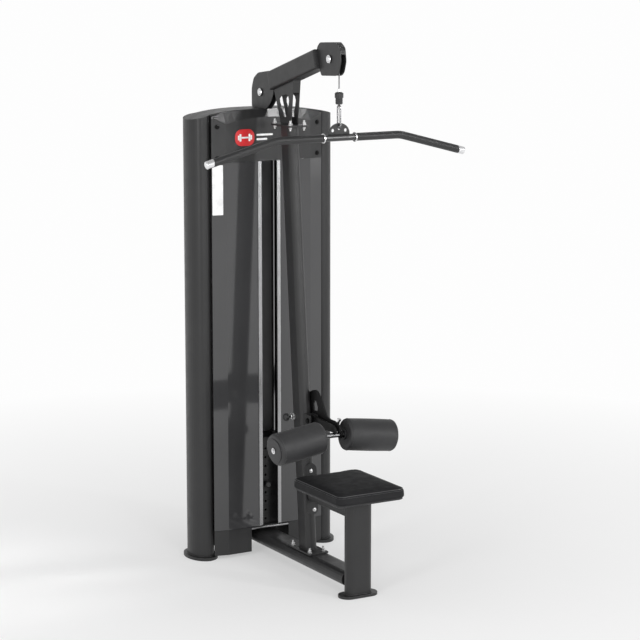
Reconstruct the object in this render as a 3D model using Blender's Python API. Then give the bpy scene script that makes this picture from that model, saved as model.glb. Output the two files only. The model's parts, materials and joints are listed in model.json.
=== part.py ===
"""Lat pulldown machine: a two-column weight tower with a cable arm, seat and thigh pads."""

import math

import bmesh
import bpy
from mathutils import Matrix, Vector
from mathutils.geometry import tessellate_polygon

# Every size is in metres. Local Y is 0 at the tower's centre line and negative towards the user.
GAP = 0.0003
TOWER_Y = 0.442

# Tower
COLUMN_X = 0.298
COLUMN_HALF_X = 0.0525
COLUMN_HALF_Y = 0.080
COLUMN_SIDES = 40
FOOT_TOP = 0.014
TOWER_HALF_WIDTH = COLUMN_X + COLUMN_HALF_X
TOWER_SHOULDER = 1.942
ARCH_RISE = 0.038
TOP_BEAM_BOTTOM = 1.840
PANEL_FRONT = -0.100
PANEL_HALF = 0.208
FLANGE_WIDTH = 0.0635
FLANGE_DEPTH = 0.015
HEADER_BEVEL = 0.030
HEADER_BOTTOM = 1.756
PANEL_BOTTOM = 0.128
SLOT_HALF = 0.040
KICK_INNER = 0.094
KICK_TOP = 0.1266
LEDGE_TOP = 0.124

# Weight stack
PLATE_COUNT = 9
PLATE_PITCH = 0.0402
PLATE_HALF_X = 0.150
PLATE_HALF_Y = 0.058
HEAD_THICKNESS = 0.030
ROD_X = 0.078
ROD_RADIUS = 0.0125
STEM_RADIUS = 0.010
PIN_RADIUS = 0.0048
SELECTED_PLATE = 5

# Base, front post and seat
BEAM_BOTTOM = 0.037
BEAM_HEIGHT = 0.060
BEAM_WIDTH = 0.120
POST_TOP = 1.920
POST_TOP_Y = -0.2832
POST_SLOPE = 0.0863
POST_HALF_X = 0.025
POST_HALF_Y = 0.050
SEAT_POST_Y = -0.8595
SEAT_POST_HALF_X = 0.060
SEAT_POST_HALF_Y = 0.030
SEAT_TOP = 0.479
SEAT_THICKNESS = 0.059
SEAT_REAR = -0.585
SEAT_FRONT = -0.984
SEAT_HALF_X = 0.166

# Cable arm
ELBOW = Vector((0.0, -0.054, 2.050))
ARM_END = Vector((0.0, -0.646, 2.2215))
CABLE_TURN = 0.054
CABLE_RADIUS = 0.0025
PULLEY_HALF = 0.009
HOUSING_INNER = 0.0105
HOUSING_OUTER = 0.0135
AXLE_RADIUS = 0.008
ARM_HALF_X = 0.033
ARM_HALF_HEIGHT = 0.041
ARM_WALL = 0.003
ARM_REAR = Vector((0.0, -0.160, 2.106))
ARM_FRONT = Vector((0.0, -0.548, 2.2170))

# Lat bar
BAR_Y = ARM_END.y - CABLE_TURN
BAR_Z = 1.9035
BAR_RADIUS = 0.0140
GRIP_RADIUS = 0.0165
BAR_BEND_X = 0.295
BAR_END_X = 0.612
BAR_DROP = 0.083
GRIP_START = 0.078
CAP_LENGTH = 0.034

# Thigh pads
PAD_PIVOT = Vector((0.0, -0.475, 0.675))
PAD_SHAFT = Vector((0.0, -0.647, 0.643))
PAD_KINK_X = 0.050
PAD_REACH = Vector((0.242, -0.018, -0.029))
PAD_RADIUS = 0.0695
SHAFT_RADIUS = 0.0110
RIM_RADIUS = 0.110
RIM_HOLES = 5
RIM_STEP = 12.0


def clear_scene():
    for item in list(bpy.data.objects):
        bpy.data.objects.remove(item, do_unlink=True)


def material(name, color, roughness, metallic):
    """Return a Principled material."""
    mat = bpy.data.materials.new(name)
    mat.use_nodes = True
    shader = mat.node_tree.nodes["Principled BSDF"]
    shader.inputs["Base Color"].default_value = (*color, 1.0)
    shader.inputs["Roughness"].default_value = roughness
    shader.inputs["Metallic"].default_value = metallic
    return mat


def finish(name, bm, mat, sharp=35.0):
    """Close the bmesh into an object whose faces look outward."""
    bmesh.ops.recalc_face_normals(bm, faces=bm.faces)
    mesh = bpy.data.meshes.new(name)
    bm.to_mesh(mesh)
    bm.free()
    mesh.materials.append(mat)
    mesh.shade_smooth()
    mesh.set_sharp_from_angle(angle=math.radians(sharp))
    obj = bpy.data.objects.new(name, mesh)
    bpy.context.collection.objects.link(obj)
    return obj


def bevelled(obj, width, segments=2):
    """Round the sharp edges of an object."""
    mod = obj.modifiers.new("edge_round", "BEVEL")
    mod.width = width
    mod.segments = segments
    mod.limit_method = "ANGLE"
    mod.angle_limit = math.radians(40.0)
    return obj


def ellipse(half_a, half_b, count, centre=(0.0, 0.0)):
    """Points around an ellipse in a plane."""
    turn = 2.0 * math.pi / count
    return [(centre[0] + half_a * math.cos(turn * i), centre[1] + half_b * math.sin(turn * i))
            for i in range(count)]


def stadium(half_long, half_short, arc=8):
    """Points around a flat oval whose long side lies along the first axis."""
    straight = half_long - half_short
    points = []
    for side in (1.0, -1.0):
        start = -90.0 if side > 0 else 90.0
        for i in range(arc + 1):
            angle = math.radians(start + 180.0 * i / arc)
            points.append((side * straight + half_short * math.cos(angle),
                           half_short * math.sin(angle)))
    return points


def rounded_rectangle(half_a, half_b, radius, arc=4):
    """Points around a rectangle with round corners."""
    points = []
    corners = ((1, -1, -90.0), (1, 1, 0.0), (-1, 1, 90.0), (-1, -1, 180.0))
    for sign_a, sign_b, start in corners:
        for i in range(arc + 1):
            angle = math.radians(start + 90.0 * i / arc)
            points.append((sign_a * (half_a - radius) + radius * math.cos(angle),
                           sign_b * (half_b - radius) + radius * math.sin(angle)))
    return points


def place(point, along, axis):
    """Put a plane point at a distance along axis X, Y or Z."""
    a, b = point
    if axis == "X":
        return Vector((along, a, b))
    if axis == "Y":
        return Vector((a, along, b))
    return Vector((a, b, along))


def plate(name, mat, axis, start, end, outline, holes=()):
    """Extrude a flat outline with through holes between two planes."""
    bm = bmesh.new()
    loops = [outline, *holes]
    flat = [[place(p, start, axis) for p in loop] for loop in loops]
    low = [bm.verts.new(p) for loop in flat for p in loop]
    high = [bm.verts.new(place(p, end, axis)) for loop in loops for p in loop]
    for a, b, c in tessellate_polygon(flat):
        bm.faces.new((low[a], low[b], low[c]))
        bm.faces.new((high[a], high[c], high[b]))
    base = 0
    for loop in loops:
        count = len(loop)
        for i in range(count):
            j = (i + 1) % count
            bm.faces.new((low[base + i], low[base + j], high[base + j], high[base + i]))
        base += count
    return finish(name, bm, mat)


def loft(name, mat, rings, close_ends=True, sharp=35.0):
    """Skin a row of rings that have the same number of points."""
    bm = bmesh.new()
    rows = [[bm.verts.new(p) for p in ring] for ring in rings]
    count = len(rows[0])
    spans = len(rows) - 1 if close_ends else len(rows)
    for r in range(spans):
        near, far = rows[r], rows[(r + 1) % len(rows)]
        for i in range(count):
            j = (i + 1) % count
            bm.faces.new((near[i], near[j], far[j], far[i]))
    if close_ends:
        bm.faces.new(rows[0])
        bm.faces.new(list(reversed(rows[-1])))
    return finish(name, bm, mat, sharp)


def slab(name, mat, outer, inner):
    """Close two grids of points, an outer and an inner face, into one sheet."""
    bm = bmesh.new()
    sheets = [[[bm.verts.new(p) for p in row] for row in grid] for grid in (outer, inner)]
    rows, columns = len(outer), len(outer[0])
    for grid in sheets:
        for r in range(rows - 1):
            for c in range(columns - 1):
                bm.faces.new((grid[r][c], grid[r][c + 1], grid[r + 1][c + 1], grid[r + 1][c]))
    rim = [(0, c) for c in range(columns)]
    rim += [(r, columns - 1) for r in range(1, rows)]
    rim += [(rows - 1, c) for c in range(columns - 2, -1, -1)]
    rim += [(r, 0) for r in range(rows - 2, 0, -1)]
    front, back = sheets
    for i, (r, c) in enumerate(rim):
        s, d = rim[(i + 1) % len(rim)]
        bm.faces.new((front[r][c], front[s][d], back[s][d], back[r][c]))
    return finish(name, bm, mat)


def turned(name, mat, origin, direction, profile, count=28, bore=False):
    """Revolve (distance, radius) pairs about a direction; a bored profile is a closed loop."""
    frame = direction.normalized().to_track_quat("Z", "Y").to_matrix()
    turn = 2.0 * math.pi / count
    rings = []
    for along, radius in profile:
        ring = [origin + frame @ Vector((radius * math.cos(turn * i), radius * math.sin(turn * i), along))
                for i in range(count)]
        rings.append(ring)
    return loft(name, mat, rings, close_ends=not bore, sharp=30.0)


def swept_rings(path, radii, count):
    """Round rings across a path that stays in one XZ plane or one YZ plane."""
    rings = []
    flat = all(abs(p.x - path[0].x) < 1e-9 for p in path)
    side = Vector((1.0, 0.0, 0.0)) if flat else Vector((0.0, 1.0, 0.0))
    for i, point in enumerate(path):
        ahead = path[min(i + 1, len(path) - 1)] - path[max(i - 1, 0)]
        up = ahead.normalized().cross(side).normalized()
        ring = []
        for k in range(count):
            angle = 2.0 * math.pi * k / count
            ring.append(point + radii[i] * (math.cos(angle) * side + math.sin(angle) * up))
        rings.append(ring)
    return rings


def cutter(name, axis, start, end, outline):
    """A hidden tool solid for a Boolean."""
    obj = plate(name, MATERIALS["steel"], axis, start, end, outline)
    obj.hide_render = True
    obj.display_type = "WIRE"
    return obj


def cut(obj, tool):
    """Subtract a tool solid."""
    mod = obj.modifiers.new("cut_" + tool.name, "BOOLEAN")
    mod.operation = "DIFFERENCE"
    mod.solver = "EXACT"
    mod.object = tool


def arch(x):
    """Height of the tower's curved top at a distance from its centre."""
    return TOWER_SHOULDER + ARCH_RISE * (1.0 - abs(x / TOWER_HALF_WIDTH) ** 3)


def column(name, x):
    """An oval column whose top follows the arch."""
    count = COLUMN_SIDES
    outline = ellipse(COLUMN_HALF_X, COLUMN_HALF_Y, count, (x, 0.0))
    bm = bmesh.new()
    low = [bm.verts.new((a, b, FOOT_TOP + GAP)) for a, b in outline]
    high = [bm.verts.new((a, b, arch(a))) for a, b in outline]
    bm.faces.new(low)
    for i in range(count):
        j = (i + 1) % count
        bm.faces.new((low[i], low[j], high[j], high[i]))
    half = count // 2
    bm.faces.new((high[0], high[1], high[count - 1]))
    for i in range(1, half - 1):
        bm.faces.new((high[i], high[i + 1], high[count - i - 1], high[count - i]))
    bm.faces.new((high[half - 1], high[half], high[half + 1]))
    return finish(name, bm, MATERIALS["frame_paint"])


def top_beam():
    """The arched beam between the columns, bored for the cable."""
    columns = 15
    top, bottom = [], []
    for r in range(-6, 8):
        y = COLUMN_HALF_Y * math.sin(2.0 * math.pi * r / COLUMN_SIDES)
        reach = COLUMN_X - COLUMN_HALF_X * math.sqrt(1.0 - (y / COLUMN_HALF_Y) ** 2) - 0.0006
        xs = [reach * (2.0 * c / (columns - 1) - 1.0) for c in range(columns)]
        top.append([(x, y, arch(x)) for x in xs])
        bottom.append([(x, y, TOP_BEAM_BOTTOM) for x in xs])
    beam = slab("top_beam", MATERIALS["frame_paint"], top, bottom)
    bore = cutter("cable_bore", "Z", TOP_BEAM_BOTTOM - 0.05, 2.02, ellipse(0.012, 0.012, 20))
    cut(beam, bore)
    return beam


def sheet_profile(inner_edge):
    """Outer corners of a folded front panel from the slot side to the edge of its flange."""
    steps = 5
    run = [(inner_edge + (PANEL_HALF - inner_edge) * i / steps, PANEL_FRONT) for i in range(steps + 1)]
    return run + [(PANEL_HALF + FLANGE_WIDTH, PANEL_FRONT + FLANGE_DEPTH)]


def folded_panel(name, mat, side, inner_edge, bottom, top, thickness):
    """A front panel with its slanted flange, on the left (-1) or right (1)."""
    outer, inner = [], []
    for z in (bottom, top):
        outer.append([(side * x, y, z) for x, y in sheet_profile(inner_edge)])
        inner.append([(side * x, y + thickness, z) for x, y in sheet_profile(inner_edge)])
    return slab(name, mat, outer, inner)


def on_flange(x):
    """Whether a point of the front sheet lies out on its flange."""
    return abs(x) > PANEL_HALF + GAP


def header_face_top(x):
    """Top of the header's flat face, where its upper bevel starts; it meets the flange in a mitre."""
    if on_flange(x):
        return arch(x) - 0.0095
    return arch(x) - 0.0335 - 0.018 * (x / PANEL_HALF) ** 2


def header_panel():
    """The folded name panel across the top of the tower."""
    right = sheet_profile(0.0)
    profile = [(-x, y) for x, y in reversed(right)] + right[1:]
    thickness = 0.0028
    rows = []
    rows.append([(x, y, HEADER_BOTTOM) for x, y in profile])
    rows.append([(x, y, header_face_top(x)) for x, y in profile])
    rows.append([(x, y + (0.0015 if on_flange(x) else HEADER_BEVEL), arch(x) - (0.008 if on_flange(x) else 0.002))
                 for x, y in profile])
    inner = [[(x, y + thickness, z) for x, y, z in row] for row in rows]
    return slab("header_panel", MATERIALS["frame_paint"], rows, inner)


def rear_shroud():
    """The folded cover across the back of the tower."""
    back, fold, half = 0.098, 0.020, 0.225
    profile = [(-half - 0.032, back - fold), (-half, back), (half, back), (half + 0.032, back - fold)]
    levels = (0.030, 1.930)
    outer = [[(x, y, z) for x, y in profile] for z in levels]
    inner = [[(x, y - 0.003, z) for x, y in profile] for z in levels]
    return slab("rear_shroud", MATERIALS["smoked_panel"], outer, inner)


def slot_trim(name, side):
    """A bright edge strip beside the pin slot."""
    outline = rounded_rectangle(0.0085, 0.0018, 0.0012, 2)
    centre_x = side * (SLOT_HALF + 0.0065)
    centre_y = PANEL_FRONT - 0.0021
    points = [(centre_x + a, centre_y + b) for a, b in outline]
    return plate(name, MATERIALS["chrome"], "Z", LEDGE_TOP + 0.006, HEADER_BOTTOM - 0.001, points)


def stack_base():
    """The channel that carries the weight stack and straddles the base beam."""
    web, low = 0.006, 0.018
    under = LEDGE_TOP - 0.012
    profile = [(-0.085, LEDGE_TOP), (0.066, LEDGE_TOP), (0.066, low), (0.066 - web, low),
               (0.066 - web, under), (-0.030, under), (-0.030, low), (-0.030 - web, low),
               (-0.030 - web, under), (-0.085, under)]
    channel = plate("stack_base", MATERIALS["frame_paint"], "X", -0.240, 0.240, profile)
    half, top = 0.5 * BEAM_WIDTH + 0.0015, BEAM_BOTTOM + BEAM_HEIGHT + GAP
    cut(channel, cutter("beam_passage", "Y", -0.2, 0.2, [(-half, 0.0), (half, 0.0), (half, top), (-half, top)]))
    return channel


def tower_foot(name, x):
    """The oval plate under a column."""
    outline = ellipse(0.068, 0.100, 40, (x, 0.0))
    return bevelled(plate(name, MATERIALS["frame_paint"], "Z", 0.0, FOOT_TOP, outline), 0.003)


def build_tower():
    column("left_upright", -COLUMN_X)
    column("right_upright", COLUMN_X)
    tower_foot("left_foot", -COLUMN_X)
    tower_foot("right_foot", COLUMN_X)
    top_beam()
    header_panel()
    rear_shroud()
    stack_base()
    for word, side in (("left", -1), ("right", 1)):
        smoked = MATERIALS["smoked_panel"]
        paint = MATERIALS["frame_paint"]
        folded_panel("shroud_" + word, smoked, side, SLOT_HALF, PANEL_BOTTOM, HEADER_BOTTOM - 0.0006, 0.004)
        folded_panel("kick_plate_" + word, paint, side, KICK_INNER, FOOT_TOP + 0.001, KICK_TOP, 0.003)
        slot_trim("slot_trim_" + word, side)
        turned("guide_rod_" + word, MATERIALS["chrome"], Vector((side * ROD_X, 0.0, LEDGE_TOP + GAP)),
               Vector((0, 0, 1)), [(0.0, ROD_RADIUS), (TOP_BEAM_BOTTOM - LEDGE_TOP - 2 * GAP, ROD_RADIUS)], 20)


def plate_outline():
    return rounded_rectangle(PLATE_HALF_X, PLATE_HALF_Y, 0.008, 2)


def rod_holes():
    hole = ROD_RADIUS + 0.0010
    return [ellipse(hole, hole, 20, (side * ROD_X, 0.0)) for side in (-1, 1)]


def pin_height(number):
    """Height of the pin hole in a plate counted from the top of the stack."""
    return LEDGE_TOP + GAP + PLATE_PITCH * (PLATE_COUNT - number + 0.5)


def pin_drill():
    """One tool with a drill along Y at every plate's pin hole."""
    bm = bmesh.new()
    for number in range(1, PLATE_COUNT + 1):
        centre = Vector((0.0, -0.029, pin_height(number)))
        spin = Matrix.Translation(centre) @ Matrix.Rotation(math.radians(90.0), 4, "X")
        bmesh.ops.create_cone(bm, cap_ends=True, segments=14, radius1=0.0056, radius2=0.0056,
                              depth=0.081, matrix=spin)
    tool = finish("pin_drill", bm, MATERIALS["steel"])
    tool.hide_render = True
    tool.display_type = "WIRE"
    return tool


def build_stack():
    drill = pin_drill()
    stem_hole = ellipse(STEM_RADIUS + 0.0016, STEM_RADIUS + 0.0016, 20)
    for number in range(1, PLATE_COUNT + 1):
        low = LEDGE_TOP + GAP + PLATE_PITCH * (PLATE_COUNT - number)
        solid = plate("weight_plate_" + str(number), MATERIALS["stack_black"], "Z", low,
                      low + PLATE_PITCH - GAP, plate_outline(), [*rod_holes(), stem_hole])
        cut(solid, drill)
    top = LEDGE_TOP + GAP + PLATE_PITCH * PLATE_COUNT
    plate("head_plate", MATERIALS["stack_black"], "Z", top, top + HEAD_THICKNESS, plate_outline(), rod_holes())
    stem = turned("selector_stem", MATERIALS["steel"], Vector((0, 0, LEDGE_TOP + 0.008)), Vector((0, 0, 1)),
                  [(0.0, STEM_RADIUS), (top - LEDGE_TOP - 0.008 - GAP, STEM_RADIUS)], 20)
    cut(stem, drill)
    knob = 0.0140
    front = PLATE_HALF_Y + 0.0012
    profile = [(-0.0090, PIN_RADIUS), (front, PIN_RADIUS), (front, 0.0095), (front + 0.006, 0.0095),
               (front + 0.009, knob), (front + 0.024, knob), (front + 0.028, knob - 0.004)]
    pin_origin = Vector((0.0, 0.0, pin_height(SELECTED_PLATE)))
    turned("selector_pin", MATERIALS["black_plastic"], pin_origin, Vector((0, -1, 0)), profile, 20)
    return top + HEAD_THICKNESS


def post_centre(z):
    """Y of the leaning post's centre line at a height."""
    return POST_TOP_Y - (POST_TOP - z) * POST_SLOPE


def front_post():
    """The leaning flat-oval post, drilled for the pull pin."""
    low = BEAM_BOTTOM + BEAM_HEIGHT + 0.0066
    outline = stadium(POST_HALF_Y, POST_HALF_X, 9)
    rings = [[(b, post_centre(z) + a, z) for a, b in outline] for z in (low, POST_TOP)]
    post = loft("front_post", MATERIALS["frame_paint"], rings)
    drill = cutter("post_drill", "X", -0.06, 0.06,
                   ellipse(0.0066, 0.0066, 16, (PAD_PIVOT.y + RIM_RADIUS, PAD_PIVOT.z)))
    cut(post, drill)
    return post


def seat_support():
    """The flat-oval strut under the seat with its bolting flange on the post."""
    low, high = SEAT_TOP - SEAT_THICKNESS - 0.1006, SEAT_TOP - SEAT_THICKNESS - 0.0006
    middle = 0.5 * (low + high)
    tube = [(b, middle + a) for a, b in stadium(0.050, 0.022, 8)]
    flange = [(b, 0.372 + a) for a, b in stadium(0.112, 0.028, 8)]
    face = POST_HALF_Y + 0.0006
    rings = []
    rings.append([(x, post_centre(z) - face, z) for x, z in flange])
    rings.append([(x, post_centre(z) - face - 0.006, z) for x, z in flange])
    rings.append([(x, post_centre(z) - face - 0.006, z) for x, z in tube])
    rings.append([(x, SEAT_POST_Y + SEAT_POST_HALF_Y + 0.0006, z) for x, z in tube])
    return loft("seat_support", MATERIALS["frame_paint"], rings)


def seat_cushion():
    """The padded seat, a rounded slab with soft edges."""
    middle = 0.5 * (SEAT_REAR + SEAT_FRONT)
    half_y = 0.5 * (SEAT_REAR - SEAT_FRONT)
    levels = ((0.0, 0.010), (0.006, 0.002), (0.020, 0.0), (0.034, 0.001), (0.044, 0.005), (0.050, 0.014))
    rings = []
    for height, inset in levels:
        outline = rounded_rectangle(SEAT_HALF_X - inset, half_y - inset, 0.040 - inset, 5)
        rings.append([(a, middle + b, SEAT_TOP - SEAT_THICKNESS + height) for a, b in outline])
    return loft("seat_cushion", MATERIALS["vinyl"], rings, sharp=80.0)


def build_base():
    rear, front = 0.090, SEAT_POST_Y + SEAT_POST_HALF_Y + 0.0006
    middle_z = BEAM_BOTTOM + 0.5 * BEAM_HEIGHT
    oval = stadium(0.5 * BEAM_WIDTH, 0.5 * BEAM_HEIGHT, 9)
    plate("base_beam", MATERIALS["frame_paint"], "Y", rear, front, [(a, middle_z + b) for a, b in oval])
    beam_top = BEAM_BOTTOM + BEAM_HEIGHT
    base_y = post_centre(beam_top)
    pad = [(a, base_y + b) for a, b in rounded_rectangle(0.048, 0.100, 0.010, 3)]
    plate("post_base_plate", MATERIALS["frame_paint"], "Z", beam_top + GAP, beam_top + 0.0063, pad)
    front_post()
    top_pad = [(a, POST_TOP_Y + b) for a, b in rounded_rectangle(0.046, 0.088, 0.010, 3)]
    plate("post_top_plate", MATERIALS["frame_paint"], "Z", POST_TOP + GAP, POST_TOP + 0.008, top_pad)
    seat_top = SEAT_TOP - SEAT_THICKNESS - 0.0006
    oval = [(a, SEAT_POST_Y + b) for a, b in stadium(SEAT_POST_HALF_X, SEAT_POST_HALF_Y, 10)]
    plate("seat_post", MATERIALS["frame_paint"], "Z", 0.0123, seat_top, oval)
    foot = [(a, SEAT_POST_Y + b) for a, b in stadium(0.089, 0.043, 12)]
    bevelled(plate("seat_foot", MATERIALS["frame_paint"], "Z", 0.0, 0.012, foot), 0.003)
    seat_support()
    seat_cushion()


def arm_pedestal():
    """Two tapered cheeks joined by a front web, between post and arm."""
    seat = POST_TOP + 0.0083
    normal = arm_normal()
    under = ARM_REAR - normal * (ARM_HALF_HEIGHT + 0.0005)
    lean = (ARM_FRONT.z - ARM_REAR.z) / (ARM_FRONT.y - ARM_REAR.y)

    def under_arm(y):
        return under.z + (y - under.y) * lean

    outline = [(-0.242, seat), (-0.328, seat), (-0.350, under_arm(-0.350)), (-0.182, under_arm(-0.182))]
    window = [(-0.272, seat + 0.030), (-0.298, seat + 0.030), (-0.314, 2.030), (-0.308, 2.046),
              (-0.290, 2.056), (-0.240, 2.044), (-0.228, 2.034), (-0.230, 2.018)]
    solid = plate("arm_pedestal", MATERIALS["frame_paint"], "X", -0.0185, 0.0185, outline, [window])
    space = [(-0.10, 1.90), (-0.42, 1.90), (-0.42, 2.064), (-0.336, 2.064), (-0.336, 2.20), (-0.10, 2.20)]
    cut(solid, cutter("pedestal_space", "X", -0.0140, 0.0140, space))
    return solid


def arm_normal():
    """Unit vector square to the arm, upward."""
    ahead = (ARM_FRONT - ARM_REAR).normalized()
    return Vector((0.0, -ahead.z, ahead.y)) * -1.0


def arm_tube():
    """The hollow box tube that carries the cable forward."""
    normal = arm_normal()

    def ring(centre, half_x, half_height):
        outline = rounded_rectangle(half_x, half_height, min(0.009, half_x), 3)
        return [centre + Vector((a, 0.0, 0.0)) + normal * b for a, b in outline]

    rings = []
    for centre in (ARM_REAR, ARM_FRONT):
        rings.append(ring(centre, ARM_HALF_X, ARM_HALF_HEIGHT))
    for centre in (ARM_FRONT, ARM_REAR):
        rings.append(ring(centre, ARM_HALF_X - ARM_WALL, ARM_HALF_HEIGHT - ARM_WALL))
    return loft("arm_tube", MATERIALS["frame_paint"], rings, close_ends=False)


def fillet(points, radius, arc=4):
    """Round the corners of a closed outline."""
    result = []
    count = len(points)
    for i in range(count):
        corner = Vector(points[i])
        before = Vector(points[i - 1]) - corner
        after = Vector(points[(i + 1) % count]) - corner
        reach = min(radius, 0.45 * before.length, 0.45 * after.length)
        start = corner + before.normalized() * reach
        end = corner + after.normalized() * reach
        for k in range(arc + 1):
            t = k / arc
            bend = start * (1 - t) ** 2 + corner * 2 * t * (1 - t) + end * t ** 2
            result.append((bend.x, bend.y))
    return result


def pulley(name, centre):
    """A grooved wheel that turns about X."""
    groove = CABLE_TURN - CABLE_RADIUS - 0.0014
    rim = CABLE_TURN + 0.0045
    bore = AXLE_RADIUS + 0.0005
    half = PULLEY_HALF
    profile = [(-half, bore), (-half, rim - 0.001), (-half + 0.001, rim), (-0.0050, rim), (-0.0032, groove + 0.0014),
               (0.0, groove), (0.0032, groove + 0.0014), (0.0050, rim), (half - 0.001, rim), (half, rim - 0.001),
               (half, bore)]
    return turned(name, MATERIALS["black_plastic"], centre, Vector((1, 0, 0)), profile, 36, bore=True)


def axle(name, centre):
    """The bolt through a pulley housing, with round heads outside."""
    reach = HOUSING_OUTER + GAP
    head = 0.0075
    profile = [(-reach - head, 0.010), (-reach - head + 0.002, 0.012), (-reach, 0.012), (-reach, AXLE_RADIUS),
               (reach, AXLE_RADIUS), (reach, 0.012), (reach + head - 0.002, 0.012), (reach + head, 0.010)]
    return turned(name, MATERIALS["chrome"], centre, Vector((1, 0, 0)), profile, 20)


def pulley_housings():
    """The two pulley covers, each a pair of cheeks closed by a wrap-around back."""
    hole = AXLE_RADIUS + 0.0006
    seat = arch(0.0) + 0.0008
    elbow = [(0.028, seat), (0.028, 2.064), (0.010, 2.108), (-0.030, 2.133), (-0.130, 2.146), (-0.1475, 2.1440),
             (-0.1705, 2.0680), (-0.160, 2.040), (-0.138, 2.008), (-0.100, 1.978), (-0.080, seat)]
    elbow_hole = ellipse(hole, hole, 18, (ELBOW.y, ELBOW.z))
    solid = plate("elbow_housing", MATERIALS["frame_paint"], "X", -HOUSING_OUTER, HOUSING_OUTER,
                  fillet(elbow, 0.012, 3), [elbow_hole])
    space = [(0.024, 1.90), (0.024, 2.062), (0.008, 2.104), (-0.031, 2.129), (-0.130, 2.142), (-0.300, 2.160),
             (-0.300, 1.90)]
    cut(solid, cutter("elbow_space", "X", -HOUSING_INNER, HOUSING_INNER, space))

    nose = [(-0.5405, 2.2630), (-0.565, 2.286), (-0.695, 2.2920), (-0.728, 2.270), (-0.737, 2.216), (-0.722, 2.172),
            (-0.702, 2.156), (-0.578, 2.150), (-0.5640, 2.1790)]
    nose_hole = ellipse(hole, hole, 18, (ARM_END.y, ARM_END.z))
    solid = plate("end_housing", MATERIALS["frame_paint"], "X", -HOUSING_OUTER, HOUSING_OUTER,
                  fillet(nose, 0.010, 3), [nose_hole])
    space = [(-0.500, 2.10), (-0.500, 2.260), (-0.566, 2.2820), (-0.693, 2.288), (-0.724, 2.268), (-0.729, 2.244),
             (-0.800, 2.244), (-0.800, 2.10)]
    cut(solid, cutter("end_space", "X", -HOUSING_INNER, HOUSING_INNER, space))


def cable_route():
    """Points of the cable from the top of the elbow pulley's rise to the end pulley's fall."""
    line = ARM_END - ELBOW
    tilt = math.atan2(line.z, -line.y)
    steps = 8
    points = []
    for centre, first, last in ((ELBOW, 0.0, 90.0 - math.degrees(tilt)),
                                (ARM_END, 90.0 - math.degrees(tilt), 180.0)):
        for i in range(steps + 1):
            angle = math.radians(first + (last - first) * i / steps)
            points.append(centre + CABLE_TURN * Vector((0.0, math.cos(angle), math.sin(angle))))
    return points


def build_arm(stack_top):
    arm_pedestal()
    arm_tube()
    pulley_housings()
    for word, centre in (("elbow", ELBOW), ("end", ARM_END)):
        pulley(word + "_pulley", centre)
        axle(word + "_axle", centre)
    cable = MATERIALS["cable"]
    route = cable_route()
    radii = [CABLE_RADIUS] * len(route)
    loft("arm_cable", cable, swept_rings(route, radii, 10))
    rise = stack_top + GAP
    turned("stack_cable", cable, Vector((0.0, 0.0, rise)), Vector((0, 0, 1)),
           [(0.0, CABLE_RADIUS), (ELBOW.z - GAP - rise, CABLE_RADIUS)], 10)
    fall = 2.0915
    turned("bar_cable", cable, Vector((0.0, BAR_Y, fall)), Vector((0, 0, 1)),
           [(0.0, CABLE_RADIUS), (ARM_END.z - GAP - fall, CABLE_RADIUS)], 10)


def bar_path(reach):
    """Centre line of one half of the lat bar up to a distance from the middle."""
    bend, steps = 0.020, 4
    slope = BAR_DROP / (BAR_END_X - BAR_BEND_X)
    level = [Vector((x, BAR_Y, BAR_Z)) for x in (0.0, GRIP_START, 0.19)]
    arc = []
    for i in range(steps + 1):
        t = i / steps
        x = BAR_BEND_X - bend + 2.0 * bend * t
        arc.append(Vector((x, BAR_Y, BAR_Z - slope * bend * t * t)))
    ends = [Vector((x, BAR_Y, BAR_Z - slope * (x - BAR_BEND_X)))
            for x in (0.45, BAR_END_X - CAP_LENGTH - 0.0006, BAR_END_X - CAP_LENGTH, BAR_END_X)]
    return [p for p in level + arc + ends if p.x <= reach + 1e-6]


def mirrored(path):
    return [Vector((-p.x, p.y, p.z)) for p in reversed(path)]


def lat_bar():
    """The bent bar with its thicker end plugs."""
    right = bar_path(BAR_END_X)
    cap_start = right[-2]
    body = right[:-2]
    outer = [(p, BAR_RADIUS) for p in body] + [(cap_start, BAR_RADIUS), (cap_start, GRIP_RADIUS)]
    chamfer = right[-1] + (cap_start - right[-1]).normalized() * 0.003
    outer += [(chamfer, GRIP_RADIUS), (right[-1], GRIP_RADIUS - 0.003)]
    left = [(Vector((-p.x, p.y, p.z)), r) for p, r in reversed(outer)]
    full = left + outer[1:]
    path = [p for p, r in full]
    radii = [r for p, r in full]
    return loft("lat_bar", MATERIALS["chrome"], swept_rings(path, radii, 16))


def grip(name, side):
    """A rubber sleeve over one arm of the bar."""
    path = [p for p in bar_path(BAR_END_X - CAP_LENGTH - 0.0006) if p.x >= GRIP_START - 1e-6]
    if side < 0:
        path = mirrored(path)
    count = 16
    outer = swept_rings(path, [GRIP_RADIUS] * len(path), count)
    inner = swept_rings(path, [BAR_RADIUS + 0.0005] * len(path), count)
    return loft(name, MATERIALS["rubber"], outer + list(reversed(inner)), close_ends=False)


def bar_hanger():
    """The half-round lug above the bar with three holes."""
    low = BAR_Z + BAR_RADIUS + GAP
    radius = 0.0485
    outline = [(radius, low)]
    for i in range(17):
        angle = math.radians(8.0 + 164.0 * i / 16)
        outline.append((radius * math.cos(angle), low + 0.004 + 0.0420 * math.sin(angle)))
    outline.append((-radius, low))
    holes = [ellipse(0.0075, 0.0075, 16, (x, z)) for x, z in ((-0.030, 1.9340), (0.0, 1.9430), (0.030, 1.9340))]
    return plate("bar_hanger", MATERIALS["frame_paint"], "Y", BAR_Y - 0.003, BAR_Y + 0.003, outline, holes)


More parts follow.
